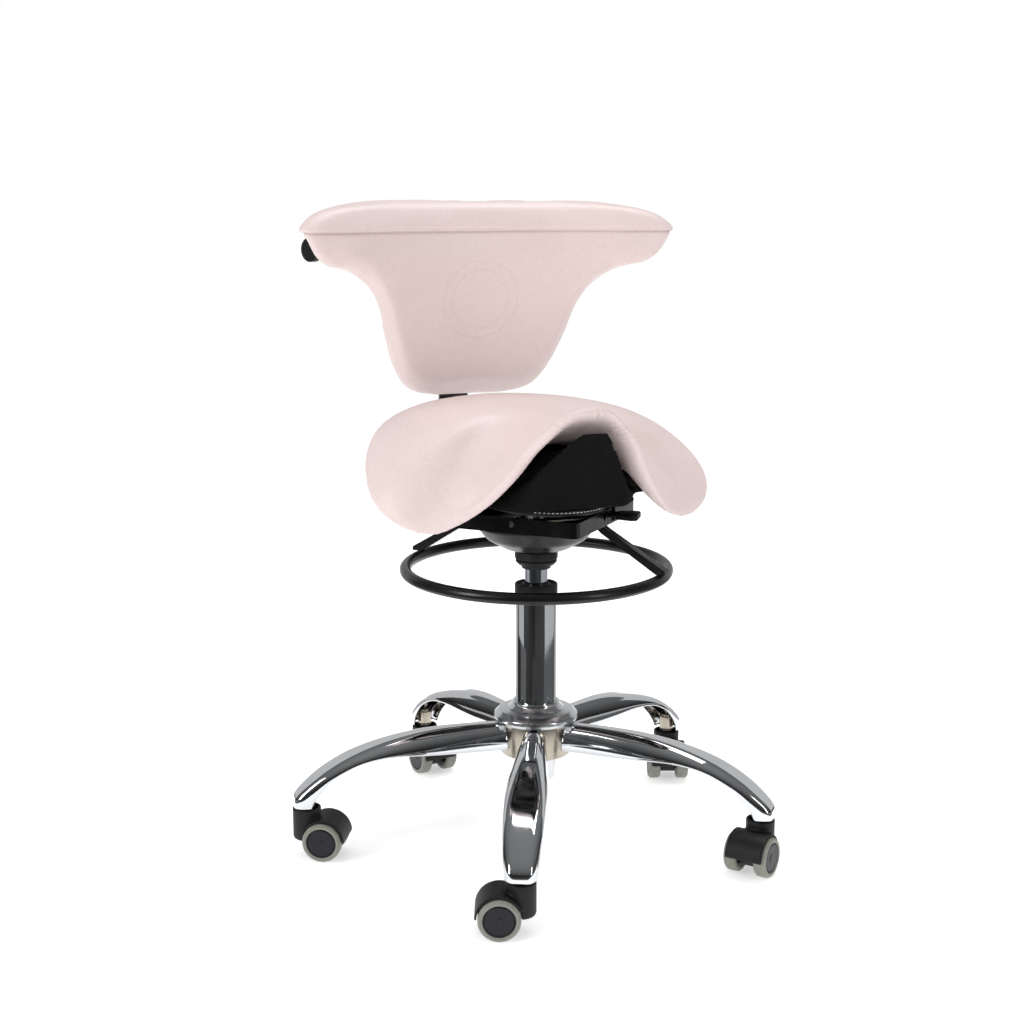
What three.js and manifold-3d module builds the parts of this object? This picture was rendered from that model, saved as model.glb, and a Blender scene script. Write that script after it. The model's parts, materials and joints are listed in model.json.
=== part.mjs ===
// Saddle stool on castors: a five-armed chrome base, a gas lift, a footring, a saddle seat that tilts
// and a T-shaped wrap-around backrest on a sliding carrier. Millimetres, +Z up, the sitter faces -Y.
// Heights are from the floor, and plan positions from the column's axis until the last lines.
import * as THREE from 'three';
import { ParametricGeometry } from 'three/addons/geometries/ParametricGeometry.js';
import { mergeVertices } from 'three/addons/utils/BufferGeometryUtils.js';
import Module from 'manifold-3d';

const wasm = await Module();
wasm.setup();

// ---- Driving dimensions ----
const gap = 0.3; // kept between pieces that touch
const columnAhead = 35; // column axis, ahead of the middle of the footprint
const columnAside = 15; // and to its +X side, because of how the castors stand

// Star base
const armCount = 5;
const firstArmAngle = -24; // from the front (-Y), positive towards +X
const castorCircle = 284; // radius of the castor stems
const hubRadius = 42.5;
const hubBottom = 106;
const hubTop = 148;
const armEndHeight = 62; // underside of an arm at its castor
const armWall = 2.2;
const socketRadius = 9.5; // castor socket welded inside the arm's end
const socketDepth = 22;
const trimRadius = 51.5;
const trimTop = 172;

// Castors
const wheelRadius = 23.5;
const wheelWidth = 16;
const wheelTrack = 54; // over both wheels
const castorTrail = 23; // from stem axis to axle
const hoodWall = 2.5;
const hoodWidth = 46;
const neckRadius = 17;
const axleRadius = 3;
const stemRadius = 5.5;
const castorHeadings = [-110, -52, -20, 10, 62]; // where each castor trails, from the front

// Gas lift
const columnRadius = 25;
const columnWall = 2.5;
const columnBottom = 74;
const columnTop = 307;
const sleeveCapHeight = 12;
const sleeveLength = 95;
const liftRadius = 14; // pressure tube
const liftWall = 2;
const liftTop = 400;
const rodRadius = 5;
const rodTop = 258;
const bumpStopHeight = 12;
const buttonRadius = 4;
const buttonTravel = 5;
const collarRadius = 24.5;
const collarBottom = 338;

// Mechanism under the seat
const cupBottom = 360;
const cupRadius = 73;
const sheet = 2.5; // pressed steel
const traySide = 184;
const trayBottom = 398;
const trayRim = 416;
const trayTurn = 45; // the tray sits corner to the front
const tiltAxleAhead = 70; // tilt axle, ahead of the column axis
const tiltAxleHeight = 408.5;
const tiltAxleRadius = 4;
const tiltAxleLength = 104;
const leverHeight = 407.5;
const leverRadius = 4;
const leverPivot = 38; // from the column axis
const heightLeverAngle = 56;
const tiltLeverAngle = 128;
const leverReach = 98;

// Footring
const footringRadius = 158;
const footringTube = 6.9;
const footringHeight = 338;
const footringBarWidth = 12;
const footringBarThickness = 4.5;
const footringBarAngle = 45;

// Seat
const seatHalfWidth = 218;
const seatFront = 180;
const seatBack = 193;
const lobeHeight = 407; // lowest point of the saddle's flaps
const pommelRise = 150; // arch top above the flaps
const seatDip = 533; // height of the saddle's middle
const domePower = 3.2; // how sharply the top turns down towards its rim
const cushionMiddle = 42;
const cushionEdge = 28;
const shellThickness = 9;
const skirtBottom = 430;
const seatBaseThickness = 7.5;
const seatPlateThickness = 3;

// Backrest
const backRadius = 416; // of the front face, in plan
const backMiddle = 195; // front face behind the column axis
const backRecede = 50; // how far the stem leans back at its bottom
const backBottom = 511;
const backWingBottom = 696;
const backSeam = 735;
const backTop = 780;
const wingAngle = 34.2; // half of the wings' arc, in degrees
const padStem = 36;
const padRoll = 48;
const boardThickness = 4;
const barWidth = 40;
const barThickness = 8;
const barUprightAt = 326; // rear face of the bar's upright, behind the column axis
const barTop = 666;
const barBend = 45;
const carrierBottom = 541;
const carrierHeight = 50;
const carrierWall = 9;
const hingeHeight = 566;
const hingeBehind = 298;
const hingePinRadius = 4;
const knuckleRadius = 8;
const knuckleWidth = 26;
const crossTubeRadius = 11;
const crossTubeHeight = 714;
const crossTubeSpan = 27.5; // half of its arc, in degrees
const crossTubePlanRadius = 471;
const tubeCapRadius = 15;
const tubeCapLength = 12;
const knobRadius = 20;

// ---- Finishes ----
const chrome = { color: 0xc9ccd0, roughness: 0.08, metalness: 1 };
const steel = { color: 0x9a9a96, roughness: 0.35, metalness: 1 };
const blackPaint = { color: 0x17171a, roughness: 0.3, metalness: 0.1 };
const blackNylon = { color: 0x232124, roughness: 0.6, metalness: 0 };
const greyTread = { color: 0x787a70, roughness: 0.7, metalness: 0 };
const blackRubber = { color: 0x161616, roughness: 0.8, metalness: 0 };
const pinkLeather = { color: 0xe4d2d0, roughness: 0.5, metalness: 0 };
const blackFabric = { color: 0x18181a, roughness: 0.95, metalness: 0 };
const plywood = { color: 0xb8925f, roughness: 0.7, metalness: 0 };

// ---- Tools ----
const radians = THREE.MathUtils.degToRad;

// A geometry's shared vertices merged and its empty triangles dropped, with only positions left.
function welded(geometry) {
  const bare = geometry.clone();
  bare.deleteAttribute('normal');
  bare.deleteAttribute('uv');
  const merged = mergeVertices(bare, 1e-4);
  const corners = merged.index.array;
  const kept = [];
  for (let i = 0; i < corners.length; i += 3) {
    const [a, b, c] = corners.slice(i, i + 3);
    if (a !== b && b !== c && c !== a) kept.push(a, b, c);
  }
  merged.setIndex(kept);
  return merged;
}

function solidOf(geometry) {
  const clean = welded(geometry);
  const vertProperties = new Float32Array(clean.attributes.position.array);
  const triVerts = new Uint32Array(clean.index.array);
  return new wasm.Manifold(new wasm.Mesh({ numProp: 3, vertProperties, triVerts }));
}

function geometryOf(solid) {
  const mesh = solid.getMesh();
  const geometry = new THREE.BufferGeometry();
  geometry.setAttribute('position', new THREE.BufferAttribute(mesh.vertProperties, 3));
  geometry.setIndex(new THREE.BufferAttribute(mesh.triVerts, 1));
  return geometry;
}

function joined(...geometries) {
  return geometryOf(geometries.map(solidOf).reduce((whole, piece) => whole.add(piece)));
}

function cut(geometry, ...tools) {
  return geometryOf(tools.map(solidOf).reduce((whole, tool) => whole.subtract(tool), solidOf(geometry)));
}

function common(first, second) {
  return geometryOf(solidOf(first).intersect(solidOf(second)));
}

// A [radius, height] profile turned about the Z axis; it runs anticlockwise, up the outside.
function turned(profile, segments = 24) {
  const points = profile.map(([radius, height]) => new THREE.Vector2(radius, height));
  return new THREE.LatheGeometry(points, segments).rotateX(Math.PI / 2);
}

// A ring, or with no inner radius a disc, between two heights.
function ring(inner, outer, bottom, top, segments) {
  if (inner === 0) return turned([[0, bottom], [outer, bottom], [outer, top], [0, top]], segments);
  return turned([[inner, bottom], [outer, bottom], [outer, top], [inner, top], [inner, bottom]], segments);
}

// A round bar along X, Y or Z, centred on a point.
function roundBar(axis, radius, length, [x, y, z], segments = 16) {
  const bar = new THREE.CylinderGeometry(radius, radius, length, segments);
  if (axis === 'x') bar.rotateZ(Math.PI / 2);
  if (axis === 'z') bar.rotateX(Math.PI / 2);
  return bar.translate(x, y, z);
}

function block([width, depth, height], [x, y, z]) {
  return new THREE.BoxGeometry(width, depth, height).translate(x, y, z);
}

function slab(shape, bottom, top, curveSegments = 8) {
  const options = { depth: top - bottom, bevelEnabled: false, curveSegments };
  return new THREE.ExtrudeGeometry(shape, options).translate(0, 0, bottom);
}

// An outline drawn in Y and Z, given a width along X.
function sideCut(shape, width, curveSegments = 8) {
  const options = { depth: width, bevelEnabled: false, curveSegments };
  const turn = new THREE.Matrix4().makeBasis(
    new THREE.Vector3(0, 1, 0), new THREE.Vector3(0, 0, 1), new THREE.Vector3(1, 0, 0));
  return new THREE.ExtrudeGeometry(shape, options).applyMatrix4(turn).translate(-width / 2, 0, 0);
}

function outline(points) {
  return new THREE.Shape(points.map(([across, up]) => new THREE.Vector2(across, up)));
}

function roundedSquare(side, corner) {
  const half = side / 2;
  const inner = half - corner;
  const shape = new THREE.Shape();
  shape.absarc(inner, inner, corner, 0, Math.PI / 2, false);
  shape.absarc(-inner, inner, corner, Math.PI / 2, Math.PI, false);
  shape.absarc(-inner, -inner, corner, Math.PI, 1.5 * Math.PI, false);
  shape.absarc(inner, -inner, corner, 1.5 * Math.PI, 2 * Math.PI, false);
  shape.closePath();
  return shape;
}

// A skin through rings. pointAt(turn, row) places a point; turn runs 0 to 1 once round, anticlockwise
// seen from the last row, and rows count up from 0. Each end row is shrunk to a point by the caller.
function skinned(pointAt, rows, sides) {
  const place = (turn, along, target) => {
    const step = Math.round(turn * sides) % sides;
    target.copy(pointAt(step / sides, Math.round(along * (rows - 1))));
  };
  return welded(new ParametricGeometry(place, sides, rows - 1));
}

// A number that runs smoothly through a column of values, for t from 0 to 1.
function smooth(values, t) {
  const curve = new THREE.SplineCurve(values.map((value, index) => new THREE.Vector2(index, value)));
  return curve.getPoint(t).y;
}

const stool = new THREE.Group();

function addPart(parent, name, geometry, finish) {
  const mesh = new THREE.Mesh(geometry, new THREE.MeshStandardMaterial(finish));
  mesh.name = name;
  parent.add(mesh);
  return mesh;
}

// ---- Star base ----
const hubBore = columnRadius + gap;
addPart(stool, 'base_hub', ring(hubBore, hubRadius, hubBottom, hubTop), steel);

// Bright ring over the hub: a bevelled rim and a collar round the column.
function trimRing() {
  const foot = hubTop + gap;
  const collar = columnRadius + 4;
  return turned([
    [hubBore, foot], [trimRadius - 3, foot], [trimRadius, foot + 4], [trimRadius, foot + 8],
    [trimRadius - 5, foot + 13], [collar + 6, foot + 15], [collar, foot + 18], [collar - 1, trimTop],
    [hubBore, trimTop], [hubBore, foot],
  ]);
}
addPart(stool, 'hub_trim_ring', trimRing(), chrome);

// Arm stations from hub to castor. Places are shares of the reach from hub to castor stem, and
// heights are shares of the rise from the arm's end to the hub's top. Widths are millimetres.
const armStations = {
  topAt: [0, 0.19, 0.4, 0.6, 0.775, 0.915, 1.01, 1.058, 1.067],
  topRise: [0.985, 0.985, 0.955, 0.855, 0.7, 0.495, 0.29, 0.14, 0],
  bottomAt: [0, 0.19, 0.38, 0.567, 0.726, 0.852, 0.922, 0.965, 0.985],
  bottomRise: [0.62, 0.63, 0.65, 0.67, 0.61, 0.45, 0.28, 0.13, 0],
  halfWidth: [16, 19, 22.5, 24, 24, 23, 21.5, 20, 18.5],
  ridge: [4, 5, 8, 12, 15, 16.5, 16.5, 15.5, 14.5],
};
// One side of an arm's section, bottom to top: [share from ridge to full width, share of its height].
const armSection = [[1, 0], [1, 0.35], [0.86, 0.63], [0.46, 0.87], [0, 1]];

// The arm's outside, or with an inset the space inside it, open below and at both ends.
function armBody(inset) {
  const reach = castorCircle - hubRadius;
  const rise = hubTop - armEndHeight;
  const overrun = inset > 0 ? 6 : 0;
  const sides = armSection.length * 2;
  const rings = 10;
  const station = (t) => {
    const bottom = new THREE.Vector3(0, -hubRadius - gap - smooth(armStations.bottomAt, t) * reach,
      armEndHeight + smooth(armStations.bottomRise, t) * rise);
    const top = new THREE.Vector3(0, -hubRadius - gap - smooth(armStations.topAt, t) * reach,
      armEndHeight + smooth(armStations.topRise, t) * rise);
    const up = top.clone().sub(bottom).normalize();
    return {
      bottom: bottom.addScaledVector(up, -overrun),
      top: top.addScaledVector(up, -inset),
      half: smooth(armStations.halfWidth, t) - inset,
      ridge: Math.max(smooth(armStations.ridge, t) - inset, 1),
    };
  };
  const pointOn = ({ bottom, top, half, ridge }, step) => {
    const side = step < armSection.length ? 1 : -1;
    const [share, height] = armSection[side > 0 ? step : sides - 1 - step];
    const point = bottom.clone().lerp(top, height);
    point.x = side * (ridge + (half - ridge) * share);
    return point;
  };
  const ends = [new THREE.Vector3(0, overrun, 0), new THREE.Vector3(0, 0, -overrun)];
  return skinned((turn, row) => {
    const last = row >= rings + 1;
    const t = THREE.MathUtils.clamp((row - 1) / (rings - 1), 0, 1);
    const place = station(t);
    const shift = row <= 1 ? ends[0] : row >= rings ? ends[1] : new THREE.Vector3();
    if (row === 0 || last) return place.bottom.clone().lerp(place.top, 0.5).add(shift);
    return pointOn(place, Math.round(turn * sides)).add(shift);
  }, rings + 2, sides);
}

function baseArm() {
  const outside = armBody(0);
  const shell = cut(outside, armBody(armWall));
  const socket = roundBar('z', socketRadius, 2 * socketDepth + 12, [0, -castorCircle, armEndHeight], 14);
  const bore = roundBar('z', stemRadius + gap, 2 * socketDepth, [0, -castorCircle, armEndHeight], 14);
  return cut(joined(shell, common(outside, socket)), bore);
}

// ---- Castors: a steel stem held in the arm, a nylon yoke that swivels on it and two wheels ----
const yokeTop = armEndHeight - 2.5;
const wheelInner = wheelTrack / 2 - wheelWidth; // inner face of a wheel, from the castor's middle

function castorStem() {
  const stemBottom = yokeTop - 24;
  const flange = stemRadius + 3.5;
  const flangeBottom = yokeTop + gap;
  const flangeTop = armEndHeight - gap;
  return turned([
    [0, stemBottom], [stemRadius, stemBottom], [stemRadius, flangeBottom], [flange, flangeBottom],
    [flange, flangeTop], [stemRadius, flangeTop], [stemRadius, armEndHeight + socketDepth - 1],
    [0, armEndHeight + socketDepth - 1],
  ], 14);
}

function castorYoke() {
  const hoodRadius = wheelRadius + 1 + hoodWall;
  const axle = [0, -castorTrail, wheelRadius];
  const neckBottom = wheelRadius - 3;
  const neck = ring(0, neckRadius, neckBottom, yokeTop, 20);
  const drum = roundBar('x', hoodRadius, hoodWidth, axle, 28);
  const upper = block([hoodWidth + 2, 2 * hoodRadius + 2, hoodRadius + 1],
    [0, -castorTrail, wheelRadius + (hoodRadius + 1) / 2]);
  const web = roundBar('x', wheelRadius - 9, 2 * (wheelInner - 0.7), axle, 20);
  const wheelRoom = [1, -1].map((side) =>
    roundBar('x', wheelRadius + 1, wheelWidth + 20, [side * (wheelInner - 0.7 + wheelWidth / 2 + 10),
      -castorTrail, wheelRadius], 28));
  const stemBore = roundBar('z', stemRadius + gap, 50, [0, 0, yokeTop], 14);
  const axleBore = roundBar('x', axleRadius + gap, hoodWidth, axle, 12);
  return cut(joined(neck, common(drum, upper), web), ...wheelRoom, stemBore, axleBore);
}

// A wheel with its blind bore towards the castor's middle, turned about Z before it is laid over.
function castorWheel() {
  const bore = axleRadius + gap;
  return turned([
    [0, 1.5], [20, 1.5], [wheelRadius - 2.5, 0], [wheelRadius, 2.5], [wheelRadius, wheelWidth],
    [bore, wheelWidth], [bore, 5], [0, 5],
  ].reverse().map(([radius, depth]) => [radius, -depth]), 20);
}

for (let index = 0; index < armCount; index += 1) {
  const number = index + 1;
  const angle = firstArmAngle + (index * 360) / armCount;
  const arm = new THREE.Group();
  arm.rotation.z = radians(angle);
  stool.add(arm);
  addPart(arm, `base_arm_${number}`, baseArm(), chrome);
  const castor = new THREE.Group();
  castor.position.set(0, -castorCircle, 0);
  castor.rotation.z = radians(castorHeadings[index] - angle);
  arm.add(castor);
  addPart(castor, `caster_stem_${number}`, castorStem(), steel);
  addPart(castor, `caster_yoke_${number}`, castorYoke(), blackNylon);
  const axle = roundBar('x', axleRadius, wheelTrack - 12, [0, -castorTrail, wheelRadius], 12);
  addPart(castor, `caster_axle_${number}`, axle, steel);
  for (const [side, word] of [[1, 'left'], [-1, 'right']]) {
    const wheel = addPart(castor, `wheel_${word}_${number}`, castorWheel(), greyTread);
    wheel.rotation.y = (side * Math.PI) / 2;
    wheel.position.set((side * wheelTrack) / 2, -castorTrail, wheelRadius);
  }
}

// ---- Gas lift ----
const columnInner = columnRadius - columnWall;
const floorTop = columnBottom + 4; // top of the column's bottom plate
const rodHole = rodRadius + gap;
const bumpStopTop = floorTop + gap + bumpStopHeight;

addPart(stool, 'column_tube', turned([
  [rodHole, columnBottom], [columnRadius - 1, columnBottom], [columnRadius, hubBottom],
  [columnRadius, columnTop], [columnInner, columnTop], [columnInner, floorTop], [rodHole, floorTop],
  [rodHole, columnBottom],
]), chrome);

// Plastic guide pressed into the column, with the cap that shows above it.
function guideSleeve() {
  const bore = liftRadius + gap;
  const outer = columnInner - gap;
  const foot = columnTop - sleeveLength;
  const capBottom = columnTop + gap;
  const capTop = columnTop + sleeveCapHeight;
  return turned([
    [bore, foot], [outer, foot], [outer, capBottom], [columnRadius + 1, capBottom],
    [columnRadius + 1, capTop - 2], [columnRadius - 1, capTop], [bore, capTop], [bore, foot],
  ]);
}
addPart(stool, 'guide_sleeve', guideSleeve(), blackNylon);

// Piston rod: it passes the bottom plate, where a head holds it, and ends in the piston.
addPart(stool, 'piston_rod', turned([
  [0, columnBottom - 6], [rodRadius + 4, columnBottom - 6], [rodRadius + 4, columnBottom - gap],
  [rodRadius, columnBottom - gap], [rodRadius, rodTop - 12],
  [liftRadius - liftWall - gap, rodTop - 12], [liftRadius - liftWall - gap, rodTop], [0, rodTop],
], 20), steel);
addPart(stool, 'bump_stop', ring(rodHole, rodRadius + 7, floorTop + gap, bumpStopTop, 24), blackRubber);

// Pressure tube, open round the rod below, tapered at the top, with a well for the valve button.
const buttonWell = liftTop - 14;
addPart(stool, 'gas_cylinder', turned([
  [0, buttonWell - 6], [liftRadius - liftWall, buttonWell - 6],
  [liftRadius - liftWall, bumpStopTop + gap + 6], [rodHole, bumpStopTop + gap + 6],
  [rodHole, bumpStopTop + gap], [liftRadius, bumpStopTop + gap], [liftRadius, cupBottom],
  [liftRadius - 1, liftTop], [buttonRadius + gap, liftTop], [buttonRadius + gap, buttonWell],
  [0, buttonWell],
]), chrome);
const buttonTop = leverHeight - leverRadius - gap;
addPart(stool, 'valve_button', ring(0, buttonRadius, buttonWell + buttonTravel, buttonTop, 16), steel);

// Ribbed rubber collar between lift and cup.
function liftCollar() {
  const bore = liftRadius + gap;
  const top = cupBottom - gap;
  return turned([
    [bore, collarBottom], [bore + 2, collarBottom], [bore + 3, collarBottom + 4],
    [collarRadius - 1, collarBottom + 6], [collarRadius, collarBottom + 8],
    [collarRadius, collarBottom + 11], [collarRadius - 3, collarBottom + 12.5],
    [collarRadius, collarBottom + 14], [collarRadius, top], [bore, top], [bore, collarBottom],
  ]);
}
addPart(stool, 'lift_collar', liftCollar(), blackRubber);

// ---- Mechanism: a domed cup with the taper socket, and a square tray, corner to the front ----
function mechanismCup() {
  const bore = liftRadius + gap;
  const socket = bore + 4;
  const rim = trayBottom - gap;
  return turned([
    [bore, cupBottom], [collarRadius, cupBottom + 3], [cupRadius * 0.53, cupBottom + 11],
    [cupRadius * 0.74, cupBottom + 21], [cupRadius * 0.9, cupBottom + 30], [cupRadius, rim],
    [cupRadius - 3, rim], [cupRadius * 0.88, cupBottom + 33], [cupRadius * 0.71, cupBottom + 24],
    [cupRadius * 0.5, cupBottom + 14], [socket, cupBottom + 7], [socket, rim], [bore, rim],
    [bore, cupBottom],
  ]);
}
addPart(stool, 'mechanism_cup', mechanismCup(), blackPaint);

// A frame turned to a lever's direction: -Y runs out along the lever.
function along(angle, ...geometries) {
  return geometries.map((geometry) => geometry.rotateZ(radians(angle)));
}

const trayFloor = trayBottom + sheet;
const postGap = leverRadius + 2;

function leverPosts(angle) {
  const height = trayRim - 2 - trayFloor + 1;
  const posts = [1, -1].map((side) =>
    block([3, 10, height], [side * (postGap + 1.5), -leverPivot, trayFloor - 1 + height / 2]));
  return along(angle, ...posts);
}

function mechanismTray() {
  const outer = slab(roundedSquare(traySide, 8), trayBottom, trayRim, 2).rotateZ(radians(trayTurn));
  const inner = slab(roundedSquare(traySide - 2 * sheet, 5.5), trayFloor, trayRim + 5, 2)
    .rotateZ(radians(trayTurn));
  const liftHole = ring(0, liftRadius + 1, trayBottom - 5, trayFloor + 5, 20);
  const lugs = [1, -1].map((side) =>
    block([4, 12, 16], [side * 48, -tiltAxleAhead, trayFloor + 7]));
  const lugBore = roundBar('x', tiltAxleRadius + gap, 120, [0, -tiltAxleAhead, tiltAxleHeight]);
  const posts = [...leverPosts(heightLeverAngle), ...leverPosts(tiltLeverAngle)];
  const pinBores = [heightLeverAngle, tiltLeverAngle].flatMap((angle) =>
    along(angle, roundBar('x', 2 + gap, 40, [0, -leverPivot, leverHeight], 8)));
  const slotHeight = 30;
  const slots = [heightLeverAngle, tiltLeverAngle].flatMap((angle) => along(angle,
    block([2 * leverRadius + 4, 60, slotHeight], [0, -traySide / 2 - 5, trayFloor + slotHeight / 2])));
  return cut(joined(cut(outer, inner), ...lugs, ...posts), liftHole, lugBore, ...pinBores, ...slots);
}
addPart(stool, 'mechanism_tray', mechanismTray(), blackPaint);
addPart(stool, 'tilt_axle', roundBar('x', tiltAxleRadius, tiltAxleLength,
  [0, -tiltAxleAhead, tiltAxleHeight]), steel);

// Lever: a round rod with a cross pin, and a flat moulded paddle outside the tray.
function lever(inner) {
  const rodLength = leverReach - inner;
  const rod = roundBar('y', leverRadius, rodLength, [0, -inner - rodLength / 2, leverHeight], 12);
  const pin = roundBar('x', 2, 2 * postGap + 5, [0, -leverPivot, leverHeight], 8);
  const paddle = new THREE.Shape();
  paddle.moveTo(-11, -leverReach + 1);
  paddle.lineTo(-17, -leverReach - 22);
  paddle.lineTo(-13, -leverReach - 27);
  paddle.lineTo(13, -leverReach - 27);
  paddle.lineTo(17, -leverReach - 22);
  paddle.lineTo(11, -leverReach + 1);
  paddle.closePath();
  return joined(rod, pin, slab(paddle, leverHeight - 4, leverHeight + 3));
}
addPart(stool, 'height_lever', lever(-3), blackNylon).rotation.z = radians(heightLeverAngle);
addPart(stool, 'tilt_lever', lever(leverPivot - 12), blackNylon).rotation.z = radians(tiltLeverAngle);

// ---- Footring: a round tube ring under two flat bars that hang from the tray ----
function torus(radius, tube, height, segments, sides) {
  const circle = [];
  for (let step = 0; step <= sides; step += 1) {
    const turn = (step / sides) * 2 * Math.PI;
    circle.push([radius + tube * Math.cos(turn), height + tube * Math.sin(turn)]);
  }
  return turned(circle, segments);
}
addPart(stool, 'footring', torus(footringRadius, footringTube, footringHeight, 40, 8), blackPaint);

function footringBar() {
  const low = footringHeight + footringTube + gap;
  const high = trayBottom - gap;
  const bend = cupRadius + 12;
  const end = footringRadius + 9;
  const flange = cupRadius + 1;
  const thick = footringBarThickness;
  return sideCut(outline([
    [-end, low + 1.5], [-end + 2, low + thick + 1], [-bend - 8, high - 4], [-bend + 4, high],
    [-flange, high], [-flange, high - thick], [-bend + 5, high - thick], [-bend - 6, high - thick - 4.5],
    [-footringRadius + 3, low], [-end + 4, low],
  ].reverse()), footringBarWidth);
}
for (const [word, angle] of [['left', footringBarAngle], ['right', footringBarAngle - 180]]) {
  addPart(stool, `footring_bar_${word}`, footringBar(), blackPaint).rotation.z = radians(angle);
}

// ---- Seat: steel plate on the tilt axle, base board, fabric skirt, shell and cushion ----
function seatPlate() {
  const top = skirtBottom - seatBaseThickness - 2 * gap;
  const bottom = top - seatPlateThickness;
  const plate = block([100, 150, seatPlateThickness], [0, 0, (top + bottom) / 2]);
  const lugHeight = bottom + 1 - (tiltAxleHeight - 7);
  const lugs = [1, -1].map((side) =>
    block([4, 14, lugHeight], [side * 42, -tiltAxleAhead, bottom + 1 - lugHeight / 2]));
  const bore = roundBar('x', tiltAxleRadius + gap, 120, [0, -tiltAxleAhead, tiltAxleHeight]);
  return cut(joined(plate, ...lugs), bore);
}
addPart(stool, 'seat_plate', seatPlate(), blackPaint);

const seatBaseShape = new THREE.Shape();
seatBaseShape.absellipse(0, -4, seatHalfWidth * 0.36, seatFront * 0.64, 0, 2 * Math.PI, false, 0);
const seatBase = slab(seatBaseShape, skirtBottom - gap - seatBaseThickness, skirtBottom - gap, 12);
addPart(stool, 'seat_base', seatBase, blackFabric);

// The saddle's rim on the +X side, front to back: shares of the half width, of the reach ahead of or
// behind the column axis, and of the pommel's rise above the flaps.
const rimHalf = [
  [0.13, -0.975, 1], [0.32, -0.87, 0.66], [0.47, -0.735, 0.37], [0.6, -0.6, 0.15],
  [0.75, -0.47, 0], [0.92, -0.38, 0.03], [1, -0.18, 0.18], [0.98, 0.14, 0.38], [0.87, 0.46, 0.55],
  [0.68, 0.75, 0.67], [0.39, 0.94, 0.76],
];
const rimPoint = ([across, back, rise]) => new THREE.Vector3(across * seatHalfWidth,
  back * (back < 0 ? seatFront : seatBack), lobeHeight + rise * pommelRise);
const rimCurve = new THREE.CatmullRomCurve3([
  rimPoint([0, -1, 1.03]), ...rimHalf.map(rimPoint), rimPoint([0, 1, 0.8]),
  ...rimHalf.map(([across, back, rise]) => rimPoint([-across, back, rise])).reverse(),
], true);

// A point of the saddle's top, on the way from its middle (reach 0) to its rim (reach 1).
function saddleTop(turn, reach) {
  const rim = rimCurve.getPoint(turn);
  const height = seatDip + (rim.z - seatDip) * reach ** domePower;
  return new THREE.Vector3(rim.x * reach, rim.y * reach, height);
}

// The same point sunk by a depth at right angles to the top.
function saddleSunk(turn, reach, depth) {
  const step = 0.01;
  const place = saddleTop(turn, reach);
  if (reach === 0) return place.setZ(place.z - depth);
  const outward = saddleTop(turn, reach + step).sub(saddleTop(turn, reach - step));
  const round = saddleTop((turn + step) % 1, reach).sub(saddleTop((turn + 1 - step) % 1, reach));
  return place.addScaledVector(outward.cross(round).normalize(), -depth);
}
const seatSides = 36;
const cushionDepth = (reach) => cushionMiddle + (cushionEdge - cushionMiddle) * reach ** 2;

// Rows from the middle of the underside, round the rim and back to the middle of the top:
// [reach, share of the cushion's depth].
const cushionRows = [
  [0, 1], [0.3, 1], [0.6, 1], [0.82, 1], [0.95, 0.97], [1.01, 0.5], [0.97, 0.06], [0.82, 0],
  [0.6, 0], [0.3, 0], [0, 0],
];
addPart(stool, 'seat_cushion', skinned((turn, row) => {
  const [reach, depth] = cushionRows[row];
  return saddleSunk(turn, reach, depth * cushionDepth(Math.min(reach, 1)));
}, cushionRows.length, seatSides), pinkLeather);

// Below the cushion the layers drop straight down, so they keep their shape under the narrow arch.
function underCushion(turn, reach, drop) {
  const place = saddleSunk(turn, reach, cushionDepth(reach));
  return place.setZ(place.z - drop);
}
const shellDrop = 4; // glue line under the foam
const shellRows = [
  [0, 1], [0.3, 1], [0.6, 1], [0.82, 1], [0.82, 0], [0.6, 0], [0.3, 0], [0, 0],
];
addPart(stool, 'seat_shell', skinned((turn, row) => {
  const [reach, share] = shellRows[row];
  return underCushion(turn, reach, shellDrop + share * shellThickness);
}, shellRows.length, seatSides), plywood);

// The skirt fills the arch under the shell, down to the level of the base board.
function seatSkirt() {
  const floor = lobeHeight - 45;
  const drop = 2 * shellDrop + shellThickness;
  const filled = skinned((turn, row) => {
    const reach = [0, 0.76, 0.82, 0.6, 0.3, 0][row];
    const place = underCushion(turn, reach, drop);
    return row < 2 ? place.setZ(floor) : place;
  }, 6, seatSides);
  const above = block([3 * seatHalfWidth, 3 * seatBack, 400], [0, 0, skirtBottom + 200]);
  return common(filled, above);
}
addPart(stool, 'seat_skirt', seatSkirt(), blackFabric);

// ---- Backrest ----
// Rows from the bottom edge to the top: [height share, half width as a share of the wing, fullness].
// Shares below 1 run from the bottom to the wings' underside, and above 1 from there to the top.
const backRows = [
  [0, 0.16, 0], [0.03, 0.28, 0.6], [0.1, 0.37, 0.9], [0.25, 0.445, 1], [0.47, 0.51, 1],
  [0.66, 0.55, 1], [0.8, 0.61, 1], [0.9, 0.7, 1], [0.96, 0.79, 0.95], [1, 0.88, 0.9],
  [1.15, 0.94, 1], [1.42, 0.99, 1], [1.5, 1, 1], [1.6, 0.98, 1], [1.78, 0.9, 0.95],
  [1.91, 0.74, 0.75], [2, 0.4, 0],
];
const backHeight = (share) => (share < 1
  ? backBottom + share * (backWingBottom - backBottom)
  : backWingBottom + (share - 1) * (backTop - backWingBottom));

// A place on the bent backrest: arc share -1 to 1 across the wings, depth from the front face.
function backPlace(across, height, depth) {
  const angle = radians(wingAngle) * across;
  const lean = backRecede * Math.max(0, (backWingBottom - height) / (backWingBottom - backBottom));
  const radius = backRadius + depth;
  const behind = backMiddle - backRadius + radius * Math.cos(angle) + lean;
  return new THREE.Vector3(radius * Math.sin(angle), behind, height);
}
const padThickness = (height) => (height < backSeam ? padStem : padRoll);
const backColumns = 11;

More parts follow.
